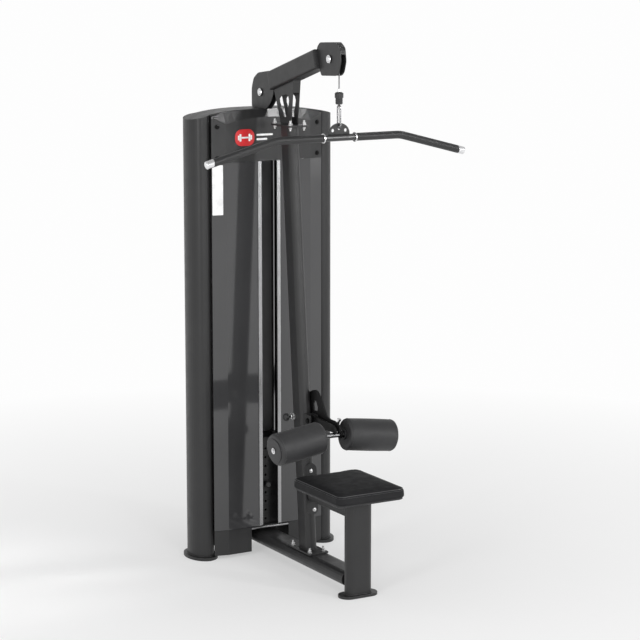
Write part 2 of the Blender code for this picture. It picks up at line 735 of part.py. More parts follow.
def snap_link():
    """The oval steel link between cable stop and lug."""
    high, low, half = 2.0357, 1.9430, 0.0105
    steps = 10
    points = []
    for centre_z, start in ((high - half, 0.0), (low + half, 180.0)):
        for i in range(steps + 1):
            angle = math.radians(start + 180.0 * i / steps)
            points.append(Vector((0.0, BAR_Y + half * math.cos(angle), centre_z + half * math.sin(angle))))
    side = Vector((1.0, 0.0, 0.0))
    rings = []
    for i, point in enumerate(points):
        ahead = (points[(i + 1) % len(points)] - points[i - 1]).normalized()
        up = ahead.cross(side)
        turn = [2.0 * math.pi * k / 10 for k in range(10)]
        rings.append([point + 0.0038 * (math.cos(a) * side + math.sin(a) * up) for a in turn])
    return loft("snap_link", MATERIALS["chrome"], rings, close_ends=False)


def build_bar():
    stop = [(0.0, 0.0120), (0.002, 0.0145), (0.026, 0.0145), (0.027, 0.0180), (0.045, 0.0180), (0.049, 0.0130),
            (0.051, 0.0060)]
    turned("cable_stop", MATERIALS["black_plastic"], Vector((0.0, BAR_Y, 2.0400)), Vector((0, 0, 1)), stop, 24)
    snap_link()
    bar_hanger()
    lat_bar()
    grip("grip_left", -1)
    grip("grip_right", 1)


def pad_direction(side):
    return Vector((side * PAD_REACH.x, PAD_REACH.y, PAD_REACH.z))


def pad_shaft():
    """The bent shaft through both foam rollers."""
    count = 16
    stations = []
    for side in (-1, 1):
        kink = Vector((side * PAD_KINK_X, PAD_SHAFT.y, PAD_SHAFT.z))
        pair = [(kink + pad_direction(side), pad_direction(side) * side), (kink, Vector((1.0, 0.0, 0.0)))]
        stations += pair if side < 0 else list(reversed(pair))
    rings = []
    for point, ahead in stations:
        forward = ahead.normalized()
        side_axis = forward.cross(Vector((0, 0, 1))).normalized()
        up = side_axis.cross(forward)
        turn = [2.0 * math.pi * k / count for k in range(count)]
        rings.append([point + SHAFT_RADIUS * (math.cos(a) * side_axis + math.sin(a) * up) for a in turn])
    return loft("pad_shaft", MATERIALS["chrome"], rings)


def foam_roller(name, side):
    """A soft roller that turns on one end of the shaft."""
    kink = Vector((side * PAD_KINK_X, PAD_SHAFT.y, PAD_SHAFT.z))
    near, far = 0.008, 0.239
    bore = SHAFT_RADIUS + 0.0008
    round_off = 0.014
    profile = [(near, bore), (near, PAD_RADIUS - round_off), (near + 0.004, PAD_RADIUS - 0.005),
               (near + round_off, PAD_RADIUS), (far - round_off, PAD_RADIUS), (far - 0.004, PAD_RADIUS - 0.005),
               (far, PAD_RADIUS - round_off), (far, bore)]
    return turned(name, MATERIALS["foam"], kink, pad_direction(side), profile, 32, bore=True)


def pad_arm():
    """The swinging link from the pivot bracket to the top of the pad shaft."""
    outline = []
    for i in range(11):
        angle = math.radians(-78.0 + 17.0 * i)
        outline.append((PAD_PIVOT.y + 0.021 * math.cos(angle), PAD_PIVOT.z + 0.021 * math.sin(angle)))
    seat = PAD_SHAFT.z + SHAFT_RADIUS + 0.0008
    outline += [(-0.640, 0.684), (-0.655, 0.676), (-0.661, 0.666), (-0.661, seat), (-0.600, seat), (-0.560, 0.647)]
    return plate("pad_arm", MATERIALS["stack_black"], "X", 0.0035, 0.0145, outline)


def polar(radius, degrees):
    """A point around the pad pivot, measured from the rear and turning upward."""
    angle = math.radians(degrees)
    return (PAD_PIVOT.y + radius * math.cos(angle), PAD_PIVOT.z + radius * math.sin(angle))


def pad_sector():
    """The toothed adjuster plate with a row of pin holes along its rim."""
    rim = RIM_RADIUS + 0.018
    outline = [polar(rim, -10.0 + 84.0 * i / 12) for i in range(13)]
    seat = PAD_SHAFT.z + SHAFT_RADIUS + 0.0008
    outline += [(-0.458, 0.802), (-0.474, 0.799), (-0.496, 0.782), (-0.516, 0.758), (-0.537, 0.726)]
    outline += [(-0.552, 0.706), (-0.585, 0.697), (-0.618, 0.697), (-0.640, 0.692), (-0.655, 0.684)]
    outline += [(-0.663, 0.670), (-0.663, seat), (-0.600, seat), (-0.540, 0.642), (-0.470, 0.640)]
    outline += [polar(0.070, -25.0)]
    window = [(-0.440, 0.738), (-0.455, 0.759), (-0.466, 0.752), (-0.479, 0.730), (-0.476, 0.712), (-0.448, 0.710)]
    holes = [window]
    holes += [ellipse(0.0060, 0.0060, 14, polar(RIM_RADIUS, RIM_STEP * i)) for i in range(RIM_HOLES)]
    return plate("pad_sector", MATERIALS["stack_black"], "X", 0.0268, 0.0328, outline, holes)


def pivot_bracket():
    """The forked lug on the post that holds the pad arm."""
    back = post_centre(0.648) - POST_HALF_Y - 0.0006
    outline = [(-0.0200, back), (0.0200, back), (0.0200, PAD_PIVOT.y - 0.020), (0.0150, PAD_PIVOT.y - 0.020),
               (0.0150, back - 0.006), (-0.0150, back - 0.006), (-0.0150, PAD_PIVOT.y - 0.020),
               (-0.0200, PAD_PIVOT.y - 0.020)]
    return plate("pivot_bracket", MATERIALS["frame_paint"], "Z", 0.650, 0.700, outline)


def pull_pin():
    """The spring-loaded adjuster pin with its round knob."""
    y, z = polar(RIM_RADIUS, 0.0)
    profile = [(-0.0263, 0.0045), (-0.0253, 0.0052), (0.0560, 0.0052), (0.0560, 0.0120), (0.0590, 0.0165),
               (0.0700, 0.0165), (0.0745, 0.0130), (0.0760, 0.0070)]
    return turned("pull_pin", MATERIALS["black_plastic"], Vector((0.0, y, z)), Vector((-1, 0, 0)), profile, 24)


def build_pads():
    pivot_bracket()
    pad_arm()
    pad_sector()
    pad_shaft()
    foam_roller("roller_left", -1)
    foam_roller("roller_right", 1)
    pull_pin()


MATERIALS = {}


def make_materials():
    MATERIALS["frame_paint"] = material("frame_paint", (0.060, 0.060, 0.062), 0.45, 0.0)
    MATERIALS["smoked_panel"] = material("smoked_panel", (0.085, 0.085, 0.088), 0.15, 0.0)
    MATERIALS["chrome"] = material("chrome", (0.80, 0.80, 0.81), 0.12, 1.0)
    MATERIALS["steel"] = material("steel", (0.45, 0.45, 0.46), 0.35, 1.0)
    MATERIALS["stack_black"] = material("stack_black", (0.018, 0.018, 0.019), 0.50, 0.0)
    MATERIALS["black_plastic"] = material("black_plastic", (0.022, 0.022, 0.023), 0.35, 0.0)
    MATERIALS["rubber"] = material("rubber", (0.030, 0.030, 0.031), 0.75, 0.0)
    MATERIALS["foam"] = material("foam", (0.040, 0.040, 0.042), 0.70, 0.0)
    MATERIALS["vinyl"] = material("vinyl", (0.028, 0.028, 0.030), 0.50, 0.0)
    MATERIALS["cable"] = material("cable", (0.60, 0.60, 0.60), 0.35, 0.6)


def main():
    clear_scene()
    make_materials()
    root = bpy.data.objects.new("machine_root", None)
    bpy.context.collection.objects.link(root)
    build_tower()
    stack_top = build_stack()
    build_base()
    build_arm(stack_top)
    build_bar()
    build_pads()
    root.location = (0.0, TOWER_Y, 0.0)
    for obj in bpy.data.objects:
        if obj is not root:
            obj.parent = root


main()
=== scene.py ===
import json
import math

import bmesh
import bpy
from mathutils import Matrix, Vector
from mathutils.bvhtree import BVHTree


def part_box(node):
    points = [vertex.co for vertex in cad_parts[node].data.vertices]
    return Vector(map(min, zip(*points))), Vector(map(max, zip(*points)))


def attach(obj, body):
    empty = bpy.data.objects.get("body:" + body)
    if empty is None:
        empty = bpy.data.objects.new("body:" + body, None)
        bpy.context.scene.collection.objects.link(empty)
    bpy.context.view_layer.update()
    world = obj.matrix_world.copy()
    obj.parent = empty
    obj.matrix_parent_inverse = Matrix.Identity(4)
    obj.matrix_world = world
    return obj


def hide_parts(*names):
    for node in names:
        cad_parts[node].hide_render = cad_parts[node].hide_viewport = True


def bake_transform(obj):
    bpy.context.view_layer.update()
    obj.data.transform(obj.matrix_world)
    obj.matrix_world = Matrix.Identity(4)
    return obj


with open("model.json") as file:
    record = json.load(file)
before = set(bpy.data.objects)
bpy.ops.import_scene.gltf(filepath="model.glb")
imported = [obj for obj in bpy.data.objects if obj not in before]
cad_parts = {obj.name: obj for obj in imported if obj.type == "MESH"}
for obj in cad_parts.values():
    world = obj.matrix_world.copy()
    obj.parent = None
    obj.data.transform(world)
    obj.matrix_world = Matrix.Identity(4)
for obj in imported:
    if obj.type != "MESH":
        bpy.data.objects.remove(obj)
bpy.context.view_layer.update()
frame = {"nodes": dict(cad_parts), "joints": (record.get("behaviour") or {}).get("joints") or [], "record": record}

NODES = frame["nodes"]

# Camera and light
CAMERA_PLACE = Vector((-4.599, -8.068, 2.750))
CAMERA_AZIMUTH = -30.0
CAMERA_PITCH = 10.04
SENSOR = 36.0
LENS = 124.6
FAR_CLIP = 60.0

# Studio: the room's white, the floor's size and tones, and where the floor fades into the room
ROOM_WHITE = 0.985
ROOM_SIDE = 0.92
ROOM_TOP = 0.50
FLOOR_DARK = (0.90, 0.90, 0.90)
FLOOR_LIGHT = (0.93, 0.93, 0.93)
FLOOR_GLOW = 0.42
FADE_START = 0.7
FADE_END = 4.0
FLOOR_HALF = 14.0
FLOOR_CELLS = 24

# Lights: name, place, width and height, watts, what it faces, and the spread of its beam in degrees
MACHINE_MIDDLE = (0.0, 0.0, 1.05)
TOWER_TOP = (0.0, 0.40, 2.15)
LIGHTS = (
    ("key", (-0.9, -6.8, 2.45), (1.6, 2.2), 95.0, MACHINE_MIDDLE, 180.0),
    ("left_tall", (-6.2, -3.2, 2.8), (1.3, 3.2), 105.0, MACHINE_MIDDLE, 180.0),
    ("front_tall", (3.4, -5.9, 2.7), (0.5, 2.2), 85.0, MACHINE_MIDDLE, 180.0),
    ("fill", (4.6, -2.2, 2.6), (2.2, 3.2), 12.0, MACHINE_MIDDLE, 180.0),
    ("crown", (1.9, 0.1, 4.6), (0.9, 0.9), 2.6, TOWER_TOP, 16.0),
)

# Directions of the machine, whose front faces -Y, and its two sides
ACROSS = Vector((1.0, 0.0, 0.0))
LEFTWARD = Vector((-1.0, 0.0, 0.0))
BACKWARD = Vector((0.0, 1.0, 0.0))
UPWARD = Vector((0.0, 0.0, 1.0))
DOWNWARD = Vector((0.0, 0.0, -1.0))
SIDES = (("left", -1.0), ("right", 1.0))

# Clearance that keeps a dressed piece off the solid it sits on
CLEAR = 0.0002

# Bolts: head radius and height
BOLT_HEAD = 0.0095
BOLT_HEIGHT = 0.0070

# Weld beads: radius, how much they ripple, and how far they stand off the edges they join
WELD_RADIUS = 0.0026
WELD_RIPPLE = 0.18
WELD_OFFSET = 0.0008
WELD_LIFT = 0.0012

# Sheet metal: width and depth of the slanted flange beside the front panels
FLANGE_WIDTH = 0.0635
FLANGE_DEPTH = 0.015

# The leaning post: its depth along the base, and half the size of its oval section with the weld
POST_DEPTH = 0.100
POST_HALF_LONG = 0.0508
POST_HALF_SHORT = 0.0258

# The cable arm: its rise in degrees, half its height, and half the size of its end caps
ARM_RISE = 16.0
ARM_HALF = 0.041
ARM_CAP_HALF = (0.0326, 0.0406)

# The rope, and the bar's height below its lug
ROPE_RADIUS = 0.0026
BAR_BELOW_LUG = 0.0143

# Rollers, along the shaft from its bend
ROLLER_NEAR = 0.0085
ROLLER_FAR = 0.2385
ROLLER_START_RADIUS = 0.0680
ROLLER_BORE = 0.0135
ROLLER_SHOULDER = 0.011
ROLLER_CROWN = 0.0012
ROLLER_HELD_RADIUS = 0.034
SHAFT_END = 0.2444

# Soft pieces: mesh cell, how far from the shaft a roller's seams are cast, seam radius, and the swelling of
# each piece as its inner pressure and the most that a point may travel
SOFT_CELL = 0.005
CAST_RADIUS = 0.09
SEAM_RADIUS = 0.0009
ROLLER_SWELL = (3.0, 0.0018)
SEAT_SWELL = (3.5, 0.0032)
SWELL_STEPS = 20

# The seat pad's section: share of the cushion's height, and inset from its outline
SEAT_SECTION = (
    (0.18, 0.0030), (0.24, 0.0008), (0.40, 0.0), (0.74, 0.0), (0.84, 0.0016), (0.92, 0.0052), (0.98, 0.0120),
    (1.02, 0.0270), (1.05, 0.0600),
)


# ---------------------------------------------------------------- materials

def shader_of(name):
    """A new Principled material: the material, its node tree and its shader."""
    mat = bpy.data.materials.new(name)
    mat.use_nodes = True
    tree = mat.node_tree
    return mat, tree, tree.nodes["Principled BSDF"]


def add(tree, kind, **values):
    """A new node with its named inputs set."""
    node = tree.nodes.new(kind)
    for key, value in values.items():
        node.inputs[key.replace("_", " ")].default_value = value
    return node


def place_of(tree, stretch=(1.0, 1.0, 1.0)):
    """Object coordinates in metres, stretched per axis."""
    coordinates = tree.nodes.new("ShaderNodeTexCoord")
    mapping = tree.nodes.new("ShaderNodeMapping")
    mapping.inputs["Scale"].default_value = stretch
    tree.links.new(coordinates.outputs["Object"], mapping.inputs["Vector"])
    return mapping.outputs["Vector"]


def noise_of(tree, where, scale, detail=3.0, roughness=0.55):
    """A noise field with its size in cycles per metre."""
    node = add(tree, "ShaderNodeTexNoise", Scale=scale, Detail=detail, Roughness=roughness)
    tree.links.new(where, node.inputs["Vector"])
    return node.outputs["Fac"]


def remap(tree, value, low, high, from_low=0.3, from_high=0.7):
    """A field moved into a range."""
    node = tree.nodes.new("ShaderNodeMapRange")
    for key, number in (("From Min", from_low), ("From Max", from_high), ("To Min", low), ("To Max", high)):
        node.inputs[key].default_value = number
    tree.links.new(value, node.inputs["Value"])
    return node.outputs["Result"]


def blend_colours(tree, value, first, second):
    """A colour that runs from first to second with a field."""
    node = tree.nodes.new("ShaderNodeMix")
    node.data_type = "RGBA"
    node.inputs[6].default_value = (*first, 1.0)
    node.inputs[7].default_value = (*second, 1.0)
    tree.links.new(value, node.inputs["Factor"])
    return node.outputs[2]


def bump(tree, height, depth, strength=1.0, below=None):
    """A bump whose full height is depth metres."""
    node = add(tree, "ShaderNodeBump", Strength=strength, Distance=depth)
    tree.links.new(height, node.inputs["Height"])
    if below is not None:
        tree.links.new(below, node.inputs["Normal"])
    return node.outputs["Normal"]


def shades(colour, spread):
    """A darker and a lighter form of a colour."""
    return [tuple(c * (1.0 - spread) for c in colour), tuple(c * (1.0 + spread) for c in colour)]


def toned(tree, shader, colour, spread, field):
    """Base colour that drifts between a darker and a lighter shade with a field."""
    dark, light = shades(colour, spread)
    tone = blend_colours(tree, remap(tree, field, 0.0, 1.0), dark, light)
    tree.links.new(tone, shader.inputs["Base Color"])


def roughened(tree, shader, field, rough):
    """Roughness that drifts between two values with a field."""
    tree.links.new(remap(tree, field, rough[0], rough[1]), shader.inputs["Roughness"])


def coated_metal(name, colour, rough=(0.34, 0.46), grain=1500.0, depth=0.00006, specular=0.42):
    """Powder coat: fine pebbled skin, slow cloudy change of tone, handled patches."""
    mat, tree, shader = shader_of(name)
    where = place_of(tree)
    toned(tree, shader, colour, 0.10, noise_of(tree, where, 7.0, 4.0))
    roughened(tree, shader, noise_of(tree, where, 23.0, 5.0, 0.65), rough)
    pebbles = bump(tree, noise_of(tree, where, grain, 2.0), depth)
    uneven = bump(tree, noise_of(tree, where, 160.0, 2.0), depth * 1.5, 0.5, pebbles)
    tree.links.new(uneven, shader.inputs["Normal"])
    shader.inputs["Specular IOR Level"].default_value = specular
    return mat


def bright_metal(name, colour, rough=(0.10, 0.22), stretch=(1.0, 1.0, 1.0), scratch=900.0):
    """Plated or brushed metal with fine scratches along one axis."""
    mat, tree, shader = shader_of(name)
    where = place_of(tree, stretch)
    plain = place_of(tree)
    toned(tree, shader, colour, 0.06, noise_of(tree, plain, 11.0, 4.0))
    lines = noise_of(tree, where, scratch, 2.0)
    roughened(tree, shader, lines, rough)
    tree.links.new(bump(tree, lines, 0.00002, 0.6), shader.inputs["Normal"])
    shader.inputs["Metallic"].default_value = 1.0
    return mat


def moulded_plastic(name, colour, rough=(0.34, 0.46)):
    """Moulded nylon with a fine spark-eroded grain."""
    mat, tree, shader = shader_of(name)
    where = place_of(tree)
    toned(tree, shader, colour, 0.12, noise_of(tree, where, 30.0, 3.0))
    roughened(tree, shader, noise_of(tree, where, 90.0, 4.0), rough)
    tree.links.new(bump(tree, noise_of(tree, where, 2200.0, 2.0), 0.00005), shader.inputs["Normal"])
    return mat


def smoked_acrylic(name, colour):
    """Glossy smoked sheet: clear surface, faint swirl marks, a slow waviness."""
    mat, tree, shader = shader_of(name)
    where = place_of(tree)
    toned(tree, shader, colour, 0.08, noise_of(tree, where, 3.0, 3.0))
    roughened(tree, shader, noise_of(tree, where, 14.0, 6.0, 0.7), (0.045, 0.11))
    tree.links.new(bump(tree, noise_of(tree, where, 5.0, 1.0), 0.00035, 0.35), shader.inputs["Normal"])
    shader.inputs["Specular IOR Level"].default_value = 0.75
    return mat


def grip_rubber(name, colour):
    """Sleeve rubber: fine diamond knurl over a matte skin."""
    mat, tree, shader = shader_of(name)
    where = place_of(tree)
    worn = noise_of(tree, where, 18.0, 5.0, 0.65)
    toned(tree, shader, colour, 0.15, worn)
    roughened(tree, shader, worn, (0.34, 0.48))
    ridges = []
    for turn in (45.0, -45.0):
        wave = tree.nodes.new("ShaderNodeTexWave")
        wave.wave_type = "BANDS"
        wave.bands_direction = "X"
        wave.inputs["Scale"].default_value = 120.0
        mapping = tree.nodes.new("ShaderNodeMapping")
        mapping.inputs["Rotation"].default_value = (0.0, math.radians(turn), math.radians(turn))
        tree.links.new(where, mapping.inputs["Vector"])
        tree.links.new(mapping.outputs["Vector"], wave.inputs["Vector"])
        ridges.append(wave.outputs["Fac"])
    first = bump(tree, ridges[0], 0.00018, 0.7)
    tree.links.new(bump(tree, ridges[1], 0.00018, 0.7, first), shader.inputs["Normal"])
    return mat


def upholstery(name, colour, cell=420.0, depth=0.00022, rough=(0.40, 0.54), specular=0.5, sheen=0.05):
    """Upholstery vinyl: pebbled leather grain with soft creases and polished spots."""
    mat, tree, shader = shader_of(name)
    where = place_of(tree)
    toned(tree, shader, colour, 0.14, noise_of(tree, where, 12.0, 4.0))
    roughened(tree, shader, noise_of(tree, where, 30.0, 4.0), rough)
    pebbles = add(tree, "ShaderNodeTexVoronoi", Scale=cell)
    pebbles.feature = "SMOOTH_F1"
    tree.links.new(where, pebbles.inputs["Vector"])
    grain = bump(tree, pebbles.outputs["Distance"], depth, 0.9)
    tree.links.new(bump(tree, noise_of(tree, where, 38.0, 4.0), 0.0009, 0.45, grain), shader.inputs["Normal"])
    shader.inputs["Sheen Weight"].default_value = sheen
    shader.inputs["Specular IOR Level"].default_value = specular
    return mat


def wire_rope(name):
    """Steel rope in a clear-grey jacket: the lay of the strands shows as slanted bands."""
    mat, tree, shader = shader_of(name)
    wave = tree.nodes.new("ShaderNodeTexWave")
    wave.wave_type = "BANDS"
    wave.bands_direction = "DIAGONAL"
    wave.inputs["Scale"].default_value = 260.0
    tree.links.new(place_of(tree), wave.inputs["Vector"])
    tree.links.new(blend_colours(tree, wave.outputs["Fac"], (0.10, 0.10, 0.104), (0.26, 0.26, 0.27)),
                   shader.inputs["Base Color"])
    tree.links.new(remap(tree, wave.outputs["Fac"], 0.30, 0.45, 0.0, 1.0), shader.inputs["Roughness"])
    tree.links.new(bump(tree, wave.outputs["Fac"], 0.0003, 0.8), shader.inputs["Normal"])
    shader.inputs["Metallic"].default_value = 0.7
    return mat


def studio_floor():
    """Pale matt floor that runs out into the white of the room."""
    mat, tree, shader = shader_of("studio_floor")
    where = place_of(tree)
    tree.links.new(blend_colours(tree, noise_of(tree, where, 2.0, 2.0), FLOOR_DARK, FLOOR_LIGHT),
                   shader.inputs["Base Color"])
    shader.inputs["Roughness"].default_value = 0.85
    shader.inputs["Specular IOR Level"].default_value = 0.2
    away = tree.nodes.new("ShaderNodeVectorMath")
    away.operation = "LENGTH"
    tree.links.new(where, away.inputs[0])
    glow = add(tree, "ShaderNodeEmission", Color=(1.0, 1.0, 1.0, 1.0), Strength=ROOM_WHITE)
    mix = tree.nodes.new("ShaderNodeMixShader")
    share = remap(tree, away.outputs["Value"], FLOOR_GLOW, 1.0, FADE_START, FADE_END)
    tree.links.new(share, mix.inputs["Fac"])
    tree.links.new(shader.outputs[0], mix.inputs[1])
    tree.links.new(glow.outputs[0], mix.inputs[2])
    tree.links.new(mix.outputs[0], tree.nodes["Material Output"].inputs["Surface"])
    return mat


PAINT = coated_metal("powder_coat", (0.020, 0.020, 0.0205))
STACK = coated_metal("stack_paint", (0.010, 0.010, 0.0105), (0.42, 0.58), 900.0, 0.00010)
ACRYLIC = smoked_acrylic("smoked_acrylic", (0.041, 0.041, 0.0425))
CHROME = bright_metal("polished_chrome", (0.78, 0.78, 0.79), (0.06, 0.14))
ROD = bright_metal("ground_rod", (0.26, 0.26, 0.265), (0.08, 0.16), (1.0, 1.0, 0.05))
LINK = bright_metal("link_steel", (0.24, 0.24, 0.244), (0.14, 0.26))
PAD_STEEL = coated_metal("pad_steel", (0.0075, 0.0075, 0.0078), (0.44, 0.60), 1200.0, 0.00008, 0.22)
TRIM = bright_metal("brushed_trim", (0.38, 0.38, 0.385), (0.22, 0.36), (1.0, 1.0, 0.02))
ZINC = bright_metal("zinc_plate", (0.70, 0.70, 0.70), (0.20, 0.38))
BLACK_OXIDE = coated_metal("black_oxide", (0.0030, 0.0030, 0.0031), (0.36, 0.48), 900.0, 0.00003, 0.16)
# Pale grey sheet colour: painted light for the lit inside of the rear shroud, seen through the smoked panels.
PAINTED_LIGHT_SHEET = coated_metal("painted_light_sheet", (0.26, 0.26, 0.265), (0.42, 0.56))
SATIN = bright_metal("satin_strip", (0.30, 0.30, 0.305), (0.30, 0.42), (0.02, 1.0, 1.0))
SHAFT_STEEL = bright_metal("shaft_steel", (0.17, 0.17, 0.173), (0.20, 0.32), (0.02, 1.0, 1.0))
NYLON = moulded_plastic("black_nylon", (0.016, 0.016, 0.017))
RUBBER = grip_rubber("grip_rubber", (0.014, 0.014, 0.0145))
FOAM = upholstery("roller_skin", (0.022, 0.022, 0.0232), 900.0, 0.00012, (0.46, 0.60))
VINYL = upholstery("seat_vinyl", (0.013, 0.013, 0.014), 420.0, 0.00022, (0.54, 0.68), 0.18, 0.0)
PIPING = upholstery("seat_piping", (0.040, 0.040, 0.042), 700.0, 0.00015, (0.34, 0.46))
END_CAP = upholstery("roller_end", (0.024, 0.024, 0.0255), 900.0, 0.00010, (0.48, 0.62))
CABLE = wire_rope("wire_rope")
PLACARD = moulded_plastic("blank_placard", (0.86, 0.86, 0.86), (0.30, 0.42))
BADGE_RED = moulded_plastic("badge_red", (0.62, 0.020, 0.024), (0.28, 0.38))
BADGE_WHITE = moulded_plastic("badge_white", (0.84, 0.84, 0.84), (0.30, 0.40))

CAD_MATERIALS = {
    "frame_paint": PAINT, "smoked_panel": ACRYLIC, "chrome": CHROME, "steel": ZINC, "stack_black": STACK,
    "black_plastic": NYLON, "rubber": RUBBER, "foam": FOAM, "vinyl": VINYL, "cable": CABLE,
}
NODE_MATERIALS = {
    "slot_trim_left": TRIM, "slot_trim_right": TRIM, "guide_rod_left": ROD, "guide_rod_right": ROD,
    "pad_arm": PAD_STEEL, "pad_sector": PAD_STEEL, "snap_link": LINK, "pad_shaft": SHAFT_STEEL,
}


def bar_finish():
    """The bar's own finish: blackened between the sleeves and bright at its two end plugs."""
    mat, tree, shader = shader_of("bar_steel")
    low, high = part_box("grip_left")[0].x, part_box("grip_right")[1].x
    split = tree.nodes.new("ShaderNodeSeparateXYZ")
    tree.links.new(place_of(tree), split.inputs["Vector"])
    reach = tree.nodes.new("ShaderNodeMath")
    reach.operation = "ABSOLUTE"
    tree.links.new(split.outputs["X"], reach.inputs[0])
    ends = tree.nodes.new("ShaderNodeMath")
    ends.operation = "GREATER_THAN"
    ends.inputs[1].default_value = 0.5 * (high - low) - 0.0004
    tree.links.new(reach.outputs[0], ends.inputs[0])
    tree.links.new(blend_colours(tree, ends.outputs[0], (0.030, 0.030, 0.031), (0.80, 0.80, 0.81)),
                   shader.inputs["Base Color"])
    tree.links.new(ends.outputs[0], shader.inputs["Metallic"])
    fine = noise_of(tree, place_of(tree, (0.05, 1.0, 1.0)), 1200.0, 2.0)
    tree.links.new(remap(tree, fine, 0.16, 0.30), shader.inputs["Roughness"])
    tree.links.new(bump(tree, fine, 0.00002, 0.6), shader.inputs["Normal"])
    return mat


NODE_MATERIALS["lat_bar"] = bar_finish()


def dress_cad():
    """Give every CAD node its finished material, by the record's slots."""
    for part in frame["record"]["subparts"]:
        obj = NODES[part["node"]]
        mat = NODE_MATERIALS.get(part["node"], CAD_MATERIALS[part["material_slot"]])
        obj.data.materials.clear()
        obj.data.materials.append(mat)


# ---------------------------------------------------------------- mesh helpers

def finish_piece(name, bm, mat, body, sharp=35.0):
    """Turn a bmesh into a piece that rides on a body."""
    bmesh.ops.recalc_face_normals(bm, faces=bm.faces)
    mesh = bpy.data.meshes.new(name)
    bm.to_mesh(mesh)
    bm.free()
    mesh.materials.append(mat)
    mesh.shade_smooth()
    mesh.set_sharp_from_angle(angle=math.radians(sharp))
    obj = bpy.data.objects.new(name, mesh)
    bpy.context.scene.collection.objects.link(obj)
    if body is not None:
        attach(obj, body)
    return obj


def hexagon(angle):
    """How far a hexagon's side stands from its centre, for an inner radius of one."""
    step = math.pi / 3.0
    inside = (angle + 0.5 * step) % step - 0.5 * step
    return 1.0 / math.cos(inside)


def rings_piece(name, rings, mat, body, closed=False, sharp=35.0):
    """Skin rings with the same number of points into one closed piece."""
    bm = bmesh.new()
    rows = [[bm.verts.new(p) for p in ring] for ring in rings]
    count = len(rows[0])
    for r in range(len(rows) if closed else len(rows) - 1):
        near, far = rows[r], rows[(r + 1) % len(rows)]
        for i in range(count):
            j = (i + 1) % count
            bm.faces.new((near[i], near[j], far[j], far[i]))
    if not closed:
        bm.faces.new(rows[0])
        bm.faces.new(list(reversed(rows[-1])))
    return finish_piece(name, bm, mat, body, sharp)


def turned(name, origin, axis, profile, mat, body, count=24, bored=False):
    """Revolve (distance, radius, is_hexagon) steps about an axis."""
    spin = axis.normalized().to_track_quat("Z", "Y").to_matrix()
    rings = []
    for along, radius, is_hexagon in profile:
        ring = []
        for i in range(count):
            angle = 2.0 * math.pi * i / count
            reach = radius * (hexagon(angle) if is_hexagon else 1.0)
            ring.append(origin + spin @ Vector((reach * math.cos(angle), reach * math.sin(angle), along)))
        rings.append(ring)
    return rings_piece(name, rings, mat, body, closed=bored, sharp=30.0)


def button_bolt(name, origin, axis, mat=None, body="frame", size=1.0):
    """A button-head bolt with a hexagon socket, on a thin washer."""
    r, h = BOLT_HEAD * size, BOLT_HEIGHT * size
    profile = [(0.0, r * 1.25, False), (h * 0.18, r * 1.25, False), (h * 0.22, r, False),
               (h * 0.45, r, False), (h * 0.80, r * 0.82, False), (h, r * 0.55, False),
               (h, r * 0.42, True), (h * 0.45, r * 0.42, True)]
    return turned(name, origin, axis, profile, mat or NYLON, body)


def hex_bolt(name, origin, axis, body="frame", size=1.0, mat=None):
    """A hexagon head on a washer, with a chamfered crown."""
    r, h = BOLT_HEAD * size, BOLT_HEIGHT * size
    profile = [(0.0, r * 1.35, False), (h * 0.20, r * 1.35, False), (h * 0.22, r * 0.95, True),
               (h * 0.92, r * 0.95, True), (h * 1.05, r * 0.82, False), (h * 1.10, r * 0.30, False)]
    return turned(name, origin, axis, profile, mat or CHROME, body)


def stud_nut(name, origin, axis, size=1.0):
    """A nut on a washer with the end of its stud standing out."""
    profile = [(0.0, 0.0105, False), (0.0014, 0.0105, False), (0.0016, 0.0073, True),
               (0.0094, 0.0073, True), (0.0104, 0.0064, False), (0.0104, 0.0047, False),
               (0.0185, 0.0047, False), (0.0200, 0.0036, False)]
    profile = [(size * along, size * reach, is_hexagon) for along, reach, is_hexagon in profile]
    return turned(name, origin, axis, profile, ZINC, "frame")


def tube(name, points, radius, mat, body, closed=False, sides=10, ripple=0.0):
    """A round bead or rope along points, with an optional weld ripple."""
    rings = []
    last = len(points) - 1
    guide = UPWARD
    if all(abs((points[min(i + 1, last)] - points[i]).normalized().z) > 0.9 for i in range(last)):
        guide = ACROSS
    for i, point in enumerate(points):
        after = points[(i + 1) % len(points)] if closed else points[min(i + 1, last)]
        before = points[i - 1] if closed or i else points[0]
        ahead = (after - before).normalized()
        side = ahead.cross(guide).normalized()
        up = side.cross(ahead)
        size = radius * (1.0 + ripple * math.sin(2.4 * i))
        ring = []
        for k in range(sides):
            angle = 2.0 * math.pi * k / sides
            ring.append(point + size * (math.cos(angle) * side + math.sin(angle) * up))
        rings.append(ring)
    return rings_piece(name, rings, mat, body, closed=closed)


def weld_bead(name, ring):
    """A closed weld bead on the frame."""
    return tube(name, ring, WELD_RADIUS, PAINT, "frame", True, 6, WELD_RIPPLE)


def stadium(half_long, half_short, steps=22, straight=14):
    """Evenly stepped points round a flat oval whose long side lies along the first axis."""
    points = []
    reach = half_long - half_short
    for side in (1.0, -1.0):
        for i in range(steps):
            angle = math.radians(-90.0 + 180.0 * i / steps) + (0.0 if side > 0 else math.pi)
            points.append((side * reach + half_short * math.cos(angle), half_short * math.sin(angle)))
        for i in range(straight):
            points.append((side * reach * (1.0 - 2.0 * i / straight), side * half_short))
    return points


def rounded_box(half_a, half_b, radius, steps=6):
    """Points round a rectangle with round corners."""
    points = []
    for sign_a, sign_b, start in ((1, -1, -90.0), (1, 1, 0.0), (-1, 1, 90.0), (-1, -1, 180.0)):
        for i in range(steps + 1):
            angle = math.radians(start + 90.0 * i / steps)
            points.append((sign_a * (half_a - radius) + radius * math.cos(angle),
                           sign_b * (half_b - radius) + radius * math.sin(angle)))
    return points


